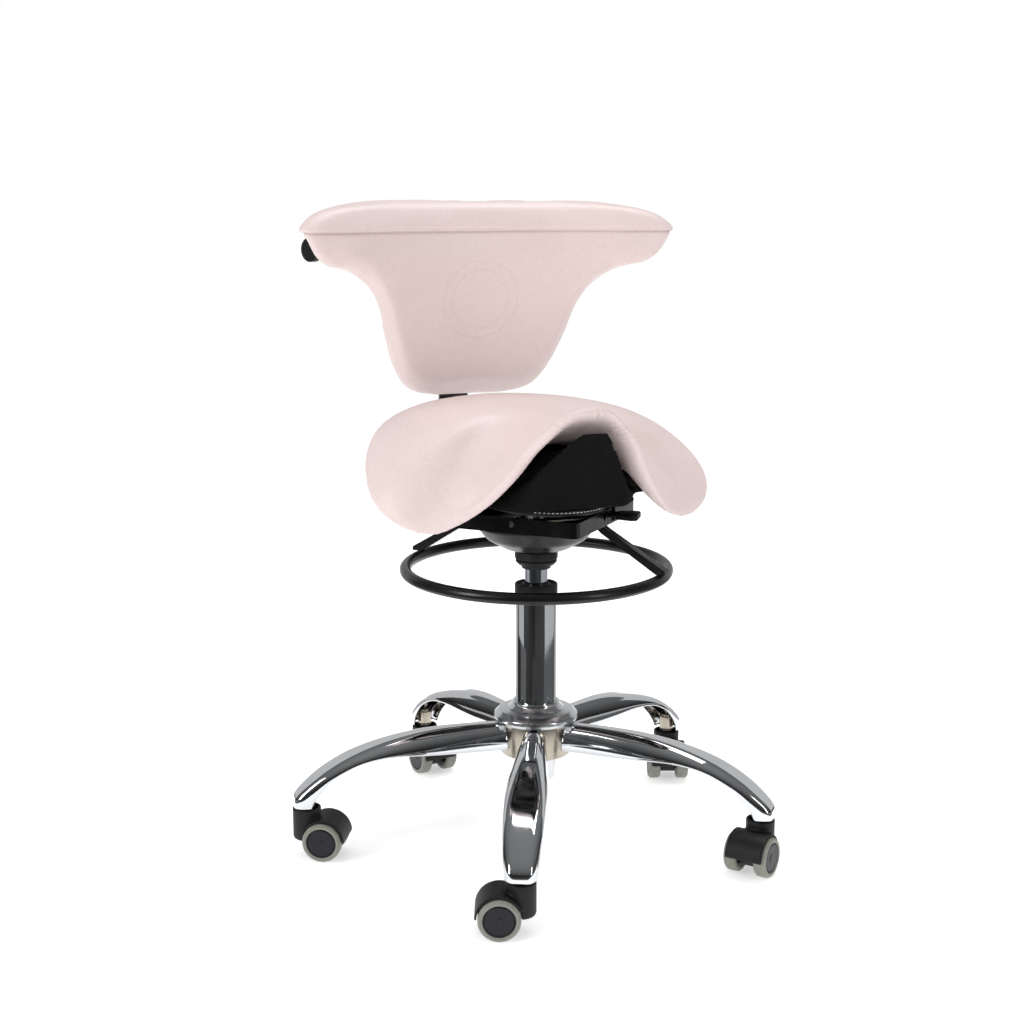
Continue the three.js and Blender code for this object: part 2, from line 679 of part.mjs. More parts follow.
// Front from -X to +X, then the rear back again; the end columns pinch together.
function backSkin(rows, frontDepth, rearDepth, shrink) {
  return skinned((turn, row) => {
    const [share, width, fullness] = rows[row];
    const height = backHeight(share);
    const rear = turn >= 0.5;
    const step = rear ? 2 - 2 * turn : 2 * turn;
    const across = Math.sin((step - 0.5) * Math.PI) * 0.3 + (2 * step - 1) * 0.7;
    const swell = fullness * Math.sqrt(1 - Math.abs(2 * step - 1) ** 8);
    const middle = (frontDepth(height) + rearDepth(height)) / 2;
    const half = ((rearDepth(height) - frontDepth(height)) / 2) * swell;
    return backPlace(across * width * shrink, height, middle + (rear ? half : -half));
  }, rows.length, 2 * backColumns);
}
addPart(stool, 'backrest_cushion', backSkin(backRows, () => 0, padThickness, 1), pinkLeather);

const boardRows = backRows.slice(2, 11).map(([share, width, fullness], row, all) =>
  [share, width, row === 0 || row === all.length - 1 ? 0 : 1]);
addPart(stool, 'backrest_board', backSkin(boardRows, () => padStem + 3 * gap,
  () => padStem + 3 * gap + boardThickness, 0.86), blackNylon);

// Bar: flat steel from under the tray's rear corner, back and up behind the backrest.
function backrestBar() {
  const low = trayBottom - gap - barThickness;
  const start = cupRadius + 2;
  const bendAt = barUprightAt - barBend;
  const shape = new THREE.Shape();
  shape.moveTo(start, low);
  shape.lineTo(bendAt, low);
  shape.absarc(bendAt, low + barBend, barBend, -Math.PI / 2, 0, false);
  shape.lineTo(barUprightAt, barTop);
  shape.lineTo(barUprightAt - barThickness, barTop);
  shape.lineTo(barUprightAt - barThickness, low + barBend);
  shape.absarc(bendAt, low + barBend, barBend - barThickness, 0, -Math.PI / 2, true);
  shape.lineTo(start, low + barThickness);
  return sideCut(shape, barWidth, 7);
}
addPart(stool, 'backrest_bar', backrestBar(), blackPaint);

// Carrier: a block that slides on the upright, with two ears and a pin for the frame's knuckle.
const barMiddle = barUprightAt - barThickness / 2;
const carrierDepth = barThickness + 2 * carrierWall;
const carrierMiddle = carrierBottom + carrierHeight / 2;

function backrestCarrier() {
  const body = block([barWidth + 2 * carrierWall, carrierDepth, carrierHeight],
    [0, barMiddle, carrierMiddle]);
  const channel = block([barWidth + 2 * gap, barThickness + 2 * gap, carrierHeight + 10],
    [0, barMiddle, carrierMiddle]);
  const earDepth = barMiddle - carrierDepth / 2 + 1 - (hingeBehind - knuckleRadius);
  const ears = [1, -1].map((side) => block([6, earDepth, 2 * knuckleRadius],
    [side * (knuckleWidth / 2 + 4), hingeBehind - knuckleRadius + earDepth / 2, hingeHeight]));
  const pin = roundBar('x', hingePinRadius, knuckleWidth + 12, [0, hingeBehind, hingeHeight], 20);
  const screwHole = roundBar('y', 4 + gap, carrierWall + 10,
    [0, barUprightAt + gap + carrierWall / 2 + 4, carrierMiddle], 16);
  return cut(joined(cut(body, channel), ...ears, pin), screwHole);
}
addPart(stool, 'backrest_carrier', backrestCarrier(), blackNylon);

// Star knob with its clamp screw.
function backrestKnob() {
  const face = barUprightAt + carrierWall + 2 * gap;
  const lobes = new THREE.Shape();
  const steps = 48;
  for (let step = 0; step < steps; step += 1) {
    const turn = (step / steps) * 2 * Math.PI;
    const radius = knobRadius - 2 + 2 * Math.cos(6 * turn);
    lobes[step === 0 ? 'moveTo' : 'lineTo'](radius * Math.cos(turn), radius * Math.sin(turn));
  }
  const grip = slab(lobes, 6, 22);
  const screw = ring(0, 4, -carrierWall - gap + 1, 8, 16);
  return joined(grip, ring(0, 10, 0.5, 8, 24), screw)
    .rotateX(-Math.PI / 2).translate(0, face, carrierMiddle);
}
addPart(stool, 'backrest_knob', backrestKnob(), blackNylon);

// Frame: a knuckle on the carrier's pin, a flat upright and the bent cross tube that it is welded to.
function backrestFrame() {
  const steps = 12;
  const centre = backMiddle - backRadius;
  const tubeSpan = radians(crossTubeSpan);
  const path = new THREE.CatmullRomCurve3(Array.from({ length: steps + 1 }, (_, step) => {
    const angle = tubeSpan * ((2 * step) / steps - 1);
    return new THREE.Vector3(crossTubePlanRadius * Math.sin(angle),
      centre + crossTubePlanRadius * Math.cos(angle), crossTubeHeight);
  }));
  const circle = new THREE.Shape();
  circle.absarc(0, 0, crossTubeRadius, 0, 2 * Math.PI, false);
  const tube = new THREE.ExtrudeGeometry(circle, { steps, extrudePath: path, curveSegments: 6 });
  const knuckle = roundBar('x', knuckleRadius, knuckleWidth, [0, hingeBehind, hingeHeight], 24);
  const tubeBehind = centre + crossTubePlanRadius;
  const upright = sideCut(outline([
    [hingeBehind - knuckleRadius, hingeHeight], [hingeBehind - knuckleRadius + 6, hingeHeight],
    [tubeBehind + 5, crossTubeHeight], [tubeBehind - 1, crossTubeHeight],
  ]), knuckleWidth - 2);
  const bore = roundBar('x', hingePinRadius + gap, knuckleWidth + 4, [0, hingeBehind, hingeHeight], 20);
  return cut(joined(tube, knuckle, upright), bore);
}
addPart(stool, 'backrest_frame', backrestFrame(), blackPaint);

// End caps: round plastic plugs over the cross tube's two ends.
for (const [word, side] of [['left', 1], ['right', -1]]) {
  const angle = side * radians(crossTubeSpan);
  const cap = new THREE.Group();
  cap.position.set(crossTubePlanRadius * Math.sin(angle),
    backMiddle - backRadius + crossTubePlanRadius * Math.cos(angle), crossTubeHeight);
  cap.rotation.z = -angle;
  stool.add(cap);
  const plug = turned([
    [0, 2 * gap], [tubeCapRadius, 2 * gap], [tubeCapRadius, tubeCapLength - 2],
    [tubeCapRadius - 2, tubeCapLength], [0, tubeCapLength],
  ], 20);
  addPart(cap, `tube_cap_${word}`, plug.rotateY((side * Math.PI) / 2), blackNylon);
}

stool.position.set(columnAside, -columnAhead, 0);

export default stool;
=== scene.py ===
"""A saddle stool on castors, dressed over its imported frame: chrome star base, gas lift, footring,
pink saddle seat and wrap-around backrest. Metres, +Z up, the sitter faces -Y."""

import json
import math

import bmesh
import bpy
from mathutils import Matrix, Vector
from mathutils.bvhtree import BVHTree
from mathutils.kdtree import KDTree


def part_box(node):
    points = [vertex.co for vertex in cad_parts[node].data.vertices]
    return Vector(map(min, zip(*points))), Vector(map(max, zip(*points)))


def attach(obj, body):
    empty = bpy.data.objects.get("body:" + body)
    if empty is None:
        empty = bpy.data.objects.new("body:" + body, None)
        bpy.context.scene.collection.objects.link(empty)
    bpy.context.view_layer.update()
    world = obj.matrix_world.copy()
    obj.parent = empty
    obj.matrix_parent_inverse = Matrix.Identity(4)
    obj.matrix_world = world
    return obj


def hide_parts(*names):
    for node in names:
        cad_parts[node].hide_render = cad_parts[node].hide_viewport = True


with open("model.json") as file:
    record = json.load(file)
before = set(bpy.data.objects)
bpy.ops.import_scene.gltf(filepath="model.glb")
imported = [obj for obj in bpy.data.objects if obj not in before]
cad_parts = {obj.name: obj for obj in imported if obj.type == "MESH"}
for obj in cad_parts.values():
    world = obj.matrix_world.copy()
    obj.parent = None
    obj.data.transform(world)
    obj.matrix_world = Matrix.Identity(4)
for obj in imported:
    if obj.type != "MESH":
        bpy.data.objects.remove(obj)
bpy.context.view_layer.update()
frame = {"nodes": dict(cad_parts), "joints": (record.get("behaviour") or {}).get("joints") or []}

# ---- Base hub ----
# A turned steel boss that the five arms are welded to. It is nickel-plated and left satin, so it
# shows a soft and slightly warm reflection between the mirror-bright arms.

MM = 0.001
GAP = 0.3
MERGE = 0.004 * MM
SHARP_ANGLE = math.radians(32)
joints = {joint["name"]: joint for joint in frame["joints"]}
column = Vector(joints["seat_swivel"]["pos_m"])
column.z = 0


def linear(colour):
    """A linear colour from sRGB hex digits."""
    parts = [int(colour[i:i + 2], 16) / 255 for i in (0, 2, 4)]
    return (*[p / 12.92 if p <= 0.04045 else ((p + 0.055) / 1.055) ** 2.4 for p in parts], 1)


def node(tree, kind, settings=None, sockets=None):
    """Adds one node, with its settings, and with each socket set or linked."""
    new = tree.nodes.new(kind)
    for name, value in (settings or {}).items():
        setattr(new, name, value)
    for name, value in (sockets or {}).items():
        if isinstance(value, bpy.types.NodeSocket):
            tree.links.new(value, new.inputs[name])
        else:
            new.inputs[name].default_value = value
    return new


def finish(name, colour, roughness, metallic=0.0):
    """A new material, with its tree, its shader and the Object coordinates that patterns read."""
    made = bpy.data.materials.new(name)
    made.use_nodes = True
    shader = made.node_tree.nodes["Principled BSDF"]
    shader.inputs["Base Color"].default_value = linear(colour)
    shader.inputs["Roughness"].default_value = roughness
    shader.inputs["Metallic"].default_value = metallic
    place = node(made.node_tree, "ShaderNodeTexCoord").outputs["Object"]
    return made, made.node_tree, shader, place


def per_metre(size):
    """A texture's scale for a feature of that many millimetres."""
    return 1000 / size


def bumped(tree, shader, height, depth, strength=1.0):
    """Gives a shader a bump from a height, depth millimetres at its deepest."""
    bump = node(tree, "ShaderNodeBump", None, {"Strength": strength, "Distance": depth * MM, "Height": height})
    tree.links.new(bump.outputs["Normal"], shader.inputs["Normal"])


def noise(tree, place, size, detail, **sockets):
    """Cloudy noise with features of that many millimetres."""
    return node(tree, "ShaderNodeTexNoise", None,
                {"Vector": place, "Scale": per_metre(size), "Detail": detail, **sockets}).outputs["Fac"]


def between(tree, pattern, low, high, start=0, end=1):
    """A pattern's range from start to end, mapped to low and high."""
    return node(tree, "ShaderNodeMapRange", None, {"Value": pattern, "From Min": start, "From Max": end,
                                                   "To Min": low, "To Max": high}).outputs["Result"]


def roughened(tree, shader, pattern, low, high, start=0, end=1):
    """Lets a pattern set a shader's roughness."""
    tree.links.new(between(tree, pattern, low, high, start, end), shader.inputs["Roughness"])


def tinted(tree, shader, pattern, dark, light):
    """Lets a pattern set a shader's colour between two, and gives that colour's socket."""
    tint = node(tree, "ShaderNodeMix", {"data_type": "RGBA"}, {0: pattern, 6: linear(dark), 7: linear(light)})
    tree.links.new(tint.outputs[2], shader.inputs["Base Color"])
    return tint.outputs[2]


def rounded(corners, steps=5):
    """A closed outline through (across, up, fillet) corners in mm, each fillet drawn as an arc."""
    points = []
    for index, (across, up, fillet) in enumerate(corners):
        corner = Vector((across, up))
        if fillet == 0:
            points.append(corner)
            continue
        back = (Vector(corners[index - 1][:2]) - corner).normalized()
        ahead = (Vector(corners[(index + 1) % len(corners)][:2]) - corner).normalized()
        half = back.angle(ahead) / 2
        centre = corner + (back + ahead).normalized() * fillet / math.sin(half)
        first = corner + back * fillet / math.tan(half) - centre
        last = corner + ahead * fillet / math.tan(half) - centre
        turn = math.atan2(first.x * last.y - first.y * last.x, first.dot(last))
        for step in range(steps + 1):
            angle = math.atan2(first.y, first.x) + turn * step / steps
            points.append(centre + Vector((math.cos(angle), math.sin(angle))) * fillet)
    return points


def turned(bm, corners, centre=column, steps=96, closed=True):
    """Turns an outline of (radius, height, fillet) corners in mm about the vertical through centre."""
    points = rounded(corners)
    verts = [bm.verts.new(centre + Vector((p.x * MM, 0, p.y * MM))) for p in points]
    ends = verts[1:] + verts[:1] if closed else verts[1:]
    edges = [bm.edges.new(pair) for pair in zip(verts, ends)]
    bmesh.ops.spin(bm, geom=verts + edges, cent=centre, axis=(0, 0, 1), dvec=(0, 0, 0),
                   angle=2 * math.pi, steps=steps, use_merge=True, use_duplicate=False)


def kept(bm, name="pattern"):
    """A bmesh as a mesh, which objects and copies are made from."""
    mesh = bpy.data.meshes.new(name)
    bm.to_mesh(mesh)
    bm.free()
    return mesh


def linked(name, data):
    """An object with that data, in the scene."""
    obj = bpy.data.objects.new(name, data)
    bpy.context.scene.collection.objects.link(obj)
    return obj


def piece(name, bm, finishes, body, slot, *stands_for):
    """A finished piece from a bmesh: doubles merged, faces out, smooth, riding on its body."""
    bmesh.ops.remove_doubles(bm, verts=bm.verts, dist=MERGE)
    bmesh.ops.recalc_face_normals(bm, faces=bm.faces)
    for face in bm.faces:
        face.smooth = True
    mesh = kept(bm, name)
    mesh.set_sharp_from_angle(angle=SHARP_ANGLE)
    obj = linked(name, mesh)
    for one in finishes:
        mesh.materials.append(one)
    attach(obj, body)
    if stands_for:
        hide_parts(*stands_for)
    return obj


def satin_nickel():
    """Satin nickel plate on turned steel: warm grey, with fine turning lines that blur its shine."""
    made, tree, shader, place = finish("satin_nickel_plate", "c6bfb2", 0.2, 1.0)
    lines = node(tree, "ShaderNodeMapping", None, {"Vector": place, "Scale": (1, 1, 40)})
    grain = noise(tree, lines.outputs["Vector"], 16, 6)
    roughened(tree, shader, grain, 0.12, 0.32)
    tinted(tree, shader, noise(tree, place, 22, 3), "a2988a", "cbc5b8")
    bumped(tree, shader, grain, 0.02, 0.3)
    return made


nickel = satin_nickel()
hub_low, hub_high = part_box("base_hub")
hub_radius = (hub_high.x - hub_low.x) / 2 / MM
bore = (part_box("column_tube")[1].x - column.x) / MM + GAP
bm = bmesh.new()
turned(bm, [(bore, hub_low.z / MM, 0.8), (hub_radius, hub_low.z / MM, 2), (hub_radius, hub_high.z / MM, 1.2),
            (bore, hub_high.z / MM, 0.6)])
piece("hub_boss", bm, [nickel], "base", "steel", "base_hub")

# ---- Trim ring ----
# A spun steel ring that hides the welds on top of the hub, with a bevelled rim and a short collar
# round the column. It is chrome plated, so it mirrors the room in curved bands.


def chrome_plate(name="chrome_plate", sharp=0.03, dull=0.11):
    """Bright chrome plate: a mirror with faint polishing haze and the slow waves of pressed steel."""
    made, tree, shader, place = finish(name, "d9dcdf", 0.05, 1.0)
    haze = noise(tree, place, 35, 5)
    roughened(tree, shader, haze, sharp, dull, 0.35, 0.75)
    tinted(tree, shader, haze, "cfd3d8", "e2e3e4")
    bumped(tree, shader, noise(tree, place, 45, 1), 0.35, 0.5)
    return made


chrome = chrome_plate()
ring_low, ring_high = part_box("hub_trim_ring")
ring_radius = (ring_high.x - ring_low.x) / 2 / MM
foot = ring_low.z / MM
top = ring_high.z / MM
bm = bmesh.new()
turned(bm, [(bore, foot, 0), (ring_radius - 2, foot, 1), (ring_radius, foot + 3.5, 1.5),
            (ring_radius - 0.5, foot + 8, 2), (ring_radius - 6.5, foot + 13, 2.5), (bore + 9, foot + 14.5, 5),
            (bore + 3.6, foot + 20, 1.2), (bore + 3.2, top, 1.2), (bore, top, 0)])
spun_chrome = chrome_plate("spun_chrome_plate", 0.16, 0.34)
piece("trim_ring_spun", bm, [spun_chrome], "base", "chrome", "hub_trim_ring")

# ---- Arms ----
# Five channels pressed from 2 mm sheet, with a narrow crowned ridge and flaring sides, open below.
# Each is welded to the hub, ends round its castor socket, and is chrome plated all over.

ARMS = 5
ARM_WALL = 2.2
SOCKET_RADIUS = 9.5
arm_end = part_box("base_arm_1")[0].z / MM
arm_rise = hub_high.z / MM - arm_end
stems = [Vector(joints[f"caster_swivel_{n}"]["pos_m"]) - column for n in range(1, ARMS + 1)]
castor_circle = Vector(stems[0][:2]).length / MM
# Stations from hub to castor: shares of the reach and of the rise, then half widths in mm.
TOP_AT = [0, 0.19, 0.4, 0.6, 0.775, 0.915, 1.01, 1.058, 1.067]
TOP_RISE = [0.985, 0.985, 0.955, 0.855, 0.7, 0.495, 0.29, 0.14, 0]
BOTTOM_AT = [0, 0.19, 0.38, 0.567, 0.726, 0.852, 0.922, 0.965, 0.985]
BOTTOM_RISE = [0.62, 0.63, 0.65, 0.67, 0.61, 0.45, 0.28, 0.13, 0]
HALF_WIDTH = [16, 19, 22.5, 24, 24, 23, 21.5, 20, 18.5]
RIDGE = [3, 3.5, 5, 7, 9, 9.5, 9, 8, 7]
# The crest's share of an arm's section, and how far from the hub the arm's end follows its curve.
CROWN = 0.16
HUB_BLEND = 25
SOCKET_BORE = 5.8
SOCKET_HEIGHT = 17


def smooth(values, share):
    """A value on the smooth curve through a list, for a share from 0 to 1."""
    at = share * (len(values) - 1)
    index = min(int(at), len(values) - 2)
    t = at - index
    a, b, c, d = [values[min(max(index + step, 0), len(values) - 1)] for step in (-1, 0, 1, 2)]
    return b + 0.5 * t * (c - a + t * (2 * a - 5 * b + 4 * c - d + t * (3 * (b - c) + d - a)))


def arm_point(across, along):
    """A point of an arm that runs out along -Y: across from -1 to 1, along from 0 to 1. In mm."""
    reach = castor_circle - hub_radius
    bottom = Vector((0, -smooth(BOTTOM_AT, along) * reach, arm_end + smooth(BOTTOM_RISE, along) * arm_rise))
    crest = Vector((0, -smooth(TOP_AT, along) * reach, arm_end + smooth(TOP_RISE, along) * arm_rise))
    half = smooth(HALF_WIDTH, along)
    ridge = smooth(RIDGE, along)
    side = abs(across)
    if side < CROWN:
        out, height = ridge * side / CROWN, 1
    else:
        turn = (side - CROWN) / (1 - CROWN) * math.pi / 2
        out = ridge + (half - ridge) * math.sin(turn) ** 0.95
        height = max(math.cos(turn), 0) ** (0.78 + 0.17 * along)
    point = bottom.lerp(crest, height)
    point.x = math.copysign(out, across)
    hub_curve = hub_radius - math.sqrt(hub_radius ** 2 - min(out, 30) ** 2)
    point.y += (hub_curve + 1) * max(0, 1 + point.y / HUB_BLEND) - hub_radius
    return point


def beam(turn):
    """The matrix that turns a piece made along -Y, in mm, to its place round the column."""
    return Matrix.Translation(column) @ Matrix.Rotation(turn, 4, "Z") @ Matrix.Scale(MM, 4)


for number, stem in enumerate(stems, 1):
    place = beam(math.atan2(stem.x, -stem.y))
    bm = bmesh.new()
    bmesh.ops.create_grid(bm, x_segments=36, y_segments=84, size=1)
    for vert in bm.verts:
        vert.co = place @ arm_point(vert.co.x, (vert.co.y + 1) / 2)
    bmesh.ops.recalc_face_normals(bm, faces=bm.faces)
    arm = piece(f"chrome_arm_{number}", bm, [chrome], "base", "chrome", f"base_arm_{number}")
    crest = max(arm.data.polygons, key=lambda face: face.center.z)
    if crest.normal.z < 0:
        arm.data.flip_normals()
    wall = arm.modifiers.new("wall", "SOLIDIFY")
    wall.thickness = ARM_WALL * MM
    wall.offset = -1
    lip = arm.modifiers.new("lip", "BEVEL")
    lip.width = 0.7 * MM
    lip.segments = 2
    lip.angle_limit = math.radians(60)
    bm = bmesh.new()
    socket_low = arm_end + 0.5
    socket_high = arm_end + SOCKET_HEIGHT
    turned(bm, [(SOCKET_BORE, socket_low, 0.4), (SOCKET_RADIUS, socket_low, 1),
                (SOCKET_RADIUS, socket_high, 0.5), (SOCKET_BORE, socket_high, 0.4)],
           column + Vector((stem.x, stem.y, 0)), 40)
    piece(f"castor_socket_{number}", bm, [nickel], "base", "steel")

# ---- Castors ----
# Twin-wheel castors: a steel stem, a hooded yoke moulded in black nylon in one shot, and two hard
# wheels, each with a soft grey polyurethane tread moulded round a dark disc.


def moulded_nylon():
    """Injection-moulded nylon: near black, with the fine dull texture of a sparked mould."""
    made, tree, shader, place = finish("moulded_black_nylon", "131214", 0.5)
    shader.inputs["Specular IOR Level"].default_value = 0.3
    spark = noise(tree, place, 1.2, 4)
    roughened(tree, shader, spark, 0.4, 0.62)
    tinted(tree, shader, noise(tree, place, 18, 8), "0e0d0f", "1b1a1c")
    bumped(tree, shader, spark, 0.08, 0.35)
    return made


def grey_polyurethane():
    """Cast polyurethane tread: grey-green and satin, with a little floor dust in its pores."""
    made, tree, shader, place = finish("grey_polyurethane", "7b7d73", 0.5)
    dust = noise(tree, place, 3, 7)
    tinted(tree, shader, dust, "6c6e65", "8d8f85")
    bumped(tree, shader, dust, 0.06, 0.4)
    return made


def wheel_disc_plastic():
    """Glass-filled nylon disc: blue-black, with a low moulded sheen and faint flow marks."""
    made, tree, shader, place = finish("blue_black_nylon", "10121a", 0.4)
    shader.inputs["Specular IOR Level"].default_value = 0.35
    flow = noise(tree, place, 9, 5, Distortion=1.2)
    roughened(tree, shader, flow, 0.28, 0.5)
    bumped(tree, shader, flow, 0.05, 0.3)
    return made


def applied(obj):
    """Applies an object's modifiers to its mesh."""
    made = bpy.data.meshes.new_from_object(obj.evaluated_get(bpy.context.evaluated_depsgraph_get()))
    obj.modifiers.clear()
    obj.data = made


def softly(bm, passes):
    """Smooths a bmesh a number of times, by half of the way each time."""
    for _ in range(passes):
        bmesh.ops.smooth_vert(bm, verts=bm.verts, factor=0.5, use_axis_x=True, use_axis_y=True,
                              use_axis_z=True)


def fused(bm, voxel, passes):
    """Fuses the overlapping solids of a bmesh into one skin with soft fillets, as a moulding has."""
    obj = linked("fusing", kept(bm))
    remesh = obj.modifiers.new("remesh", "REMESH")
    remesh.mode = "VOXEL"
    remesh.voxel_size = voxel
    applied(obj)
    skin = bmesh.new()
    skin.from_mesh(obj.data)
    bpy.data.objects.remove(obj)
    softly(skin, passes)
    return skin


nylon = moulded_nylon()
tread_grey = grey_polyurethane()
disc_black = wheel_disc_plastic()
ORIGIN = Vector((0, 0, 0))
HOOD_WIDTH = 46
HOOD_WALL = 2.7
HOOD_ARC = math.radians(158)
NECK_RADIUS = 17
STEM_RADIUS = 5.5
WHEEL_WIDTH = 16
WHEEL_TRACK = 54
axle_offset = Vector(joints["wheel_roll_left_1"]["pos_m"]) - column - stems[0]
trail = Vector(axle_offset[:2]).length / MM
wheel_radius = joints["wheel_roll_left_1"]["pos_m"][2] / MM
hood_radius = wheel_radius + 3.5
yoke_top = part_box("caster_yoke_1")[1].z / MM


def castor_yoke():
    """A yoke at the origin, in metres, trailing along -Y: a neck, a hood and a web between the wheels."""
    bm = bmesh.new()
    neck_foot = wheel_radius - 3
    turned(bm, [(0, neck_foot, 0), (NECK_RADIUS, neck_foot, 4), (NECK_RADIUS, yoke_top, 0.8),
                (NECK_RADIUS - 3, yoke_top, 0.5), (NECK_RADIUS - 3.6, yoke_top - 6, 1), (8, yoke_top - 6, 1),
                (7.5, yoke_top, 0.8), (0, yoke_top, 0)],
           ORIGIN, 64, closed=False)
    half = HOOD_WIDTH / 2
    inside = hood_radius - HOOD_WALL
    outline = rounded([(-half, inside, 0.8), (half, inside, 0.8),
                       (half, hood_radius, 1.2), (-half, hood_radius, 1.2)], 3)
    axle = Vector((0, -trail * MM, wheel_radius * MM))
    loop = [bm.verts.new(axle + Vector((p.x, -p.y, 0)) * MM) for p in outline]
    face = bm.faces.new(loop)
    bmesh.ops.spin(bm, geom=[face], cent=axle, axis=(-1, 0, 0), dvec=(0, 0, 0), angle=HOOD_ARC, steps=56,
                   use_merge=False, use_duplicate=False)
    web = (WHEEL_TRACK / 2 - WHEEL_WIDTH - 0.7) * MM
    across = Matrix.Rotation(math.pi / 2, 4, "Y")
    for radius, width in ((wheel_radius - 9, web), (5.5, web + 1.5 * MM)):
        bmesh.ops.create_cone(bm, cap_ends=True, segments=48, radius1=radius * MM, radius2=radius * MM,
                              depth=2 * width, matrix=Matrix.Translation(axle) @ across)
    rib = Matrix.Translation((0, -trail * MM / 2, (wheel_radius + 6) * MM)) @ Matrix.Diagonal(
        (2 * web, trail * MM, 26 * MM, 1))
    bmesh.ops.create_cube(bm, size=1, matrix=rib)
    bmesh.ops.remove_doubles(bm, verts=bm.verts, dist=MERGE)
    bmesh.ops.recalc_face_normals(bm, faces=bm.faces)
    solid = linked("yoke", kept(fused(bm, 0.9 * MM, 3)))
    room = bmesh.new()
    for side in (-1, 1):
        middle = axle + Vector((side * (web + 10 * MM), 0, 0))
        bmesh.ops.create_cone(room, cap_ends=True, segments=64, radius1=(wheel_radius + 1) * MM,
                              radius2=(wheel_radius + 1) * MM, depth=20 * MM,
                              matrix=Matrix.Translation(middle) @ across)
    cutter = linked("wheel_room", kept(room))
    cut = solid.modifiers.new("wheel_room", "BOOLEAN")
    cut.operation = "DIFFERENCE"
    cut.object = cutter
    applied(solid)
    yoke = bmesh.new()
    yoke.from_mesh(solid.data)
    for obj in (solid, cutter):
        bpy.data.objects.remove(obj)
    return yoke


def castor_wheel(corners, closed):
    """A wheel part at the origin with its axis along +X and its outer face towards +X."""
    bm = bmesh.new()
    turned(bm, [(radius, -depth, fillet) for radius, depth, fillet in corners], ORIGIN, 64, closed)
    bmesh.ops.rotate(bm, verts=bm.verts, cent=ORIGIN, matrix=Matrix.Rotation(math.pi / 2, 3, "Y"))
    bmesh.ops.remove_doubles(bm, verts=bm.verts, dist=MERGE)
    return bm


def copied(pattern, place):
    """A bmesh of a pattern, put in its place."""
    bm = bmesh.new()
    bm.from_mesh(pattern)
    bm.transform(place)
    return bm


rim = wheel_radius - 5.4
yoke_pattern = kept(castor_yoke())
tread_pattern = kept(castor_wheel([
    (rim, 0.9, 0.4), (wheel_radius - 2.4, 0.2, 1.6), (wheel_radius, 3, 2.2),
    (wheel_radius, WHEEL_WIDTH - 2, 1.2), (wheel_radius - 2, WHEEL_WIDTH, 0.8), (rim, WHEEL_WIDTH, 0.4)], True))
disc_pattern = kept(castor_wheel([
    (0, 1.1, 0), (4.2, 1.1, 0.3), (4.6, 1.6, 0.3), (rim - 2.2, 1.3, 0.5), (rim - 1.2, 2.3, 0.4),
    (rim - 0.1, 2.1, 0.3), (rim - 0.1, WHEEL_WIDTH - 0.5, 0.3), (8, WHEEL_WIDTH - 0.5, 0.5),
    (8, 11, 0.5), (3.3, 11, 0.3), (3.3, 5, 0), (0, 5, 0)], False))

for number, stem in enumerate(stems, 1):
    axle_x = Vector(joints[f"wheel_roll_left_{number}"]["axis"])
    spot = Matrix.Translation(column + Vector((stem.x, stem.y, 0)))
    spot = spot @ Matrix.Rotation(math.atan2(axle_x.y, axle_x.x), 4, "Z")
    piece(f"castor_yoke_{number}", copied(yoke_pattern, spot), [nylon], f"caster_{number}", "black_nylon",
          f"caster_yoke_{number}")
    bm = bmesh.new()
    stem_foot = yoke_top - 24
    stem_head = arm_end + SOCKET_HEIGHT + 2
    turned(bm, [(0, stem_foot, 0), (STEM_RADIUS, stem_foot, 0.5), (STEM_RADIUS, yoke_top + GAP, 0.2),
                (9, yoke_top + GAP, 0.4), (9, yoke_top + 2.1, 0.4), (STEM_RADIUS, yoke_top + 2.1, 0.2),
                (STEM_RADIUS, stem_head, 0.8), (0, stem_head, 0)],
           column + Vector((stem.x, stem.y, 0)), 40, False)
    piece(f"castor_stem_{number}", bm, [nickel], "base", "steel", f"caster_stem_{number}")
    for side, word in ((1, "left"), (-1, "right")):
        hub = spot @ Matrix.Translation((side * WHEEL_TRACK / 2 * MM, -trail * MM, wheel_radius * MM))
        hub = hub @ Matrix.Rotation(0 if side > 0 else math.pi, 4, "Z")
        piece(f"tread_{word}_{number}", copied(tread_pattern, hub), [tread_grey], f"wheel_{word}_{number}",
              "grey_tread", f"wheel_{word}_{number}")
        piece(f"disc_{word}_{number}", copied(disc_pattern, hub), [disc_black], f"wheel_{word}_{number}",
              "black_nylon")
    frame["nodes"][f"caster_axle_{number}"].data.materials[0] = nickel

# ---- Column and gas lift ----
# A chromed steel tube stands in the hub. A black guide cap is pressed in its top, and the ground
# and plated lift cylinder slides through it on a piston rod that stays inside.


def ground_plate():
    """Hard chrome on the ground lift cylinder: cooler and a touch duller than the decorative plate."""
    made, tree, shader, place = finish("ground_hard_chrome", "c9ced6", 0.09, 1.0)
    lines = node(tree, "ShaderNodeMapping", None, {"Vector": place, "Scale": (1, 1, 30)})
    roughened(tree, shader, noise(tree, lines.outputs["Vector"], 12, 4), 0.06, 0.15)
    return made


def column_profile(name):
    """A node's radius round the column and its lowest and highest points, in mm."""
    low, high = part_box(name)
    return (high.x - low.x) / 2 / MM, low.z / MM, high.z / MM


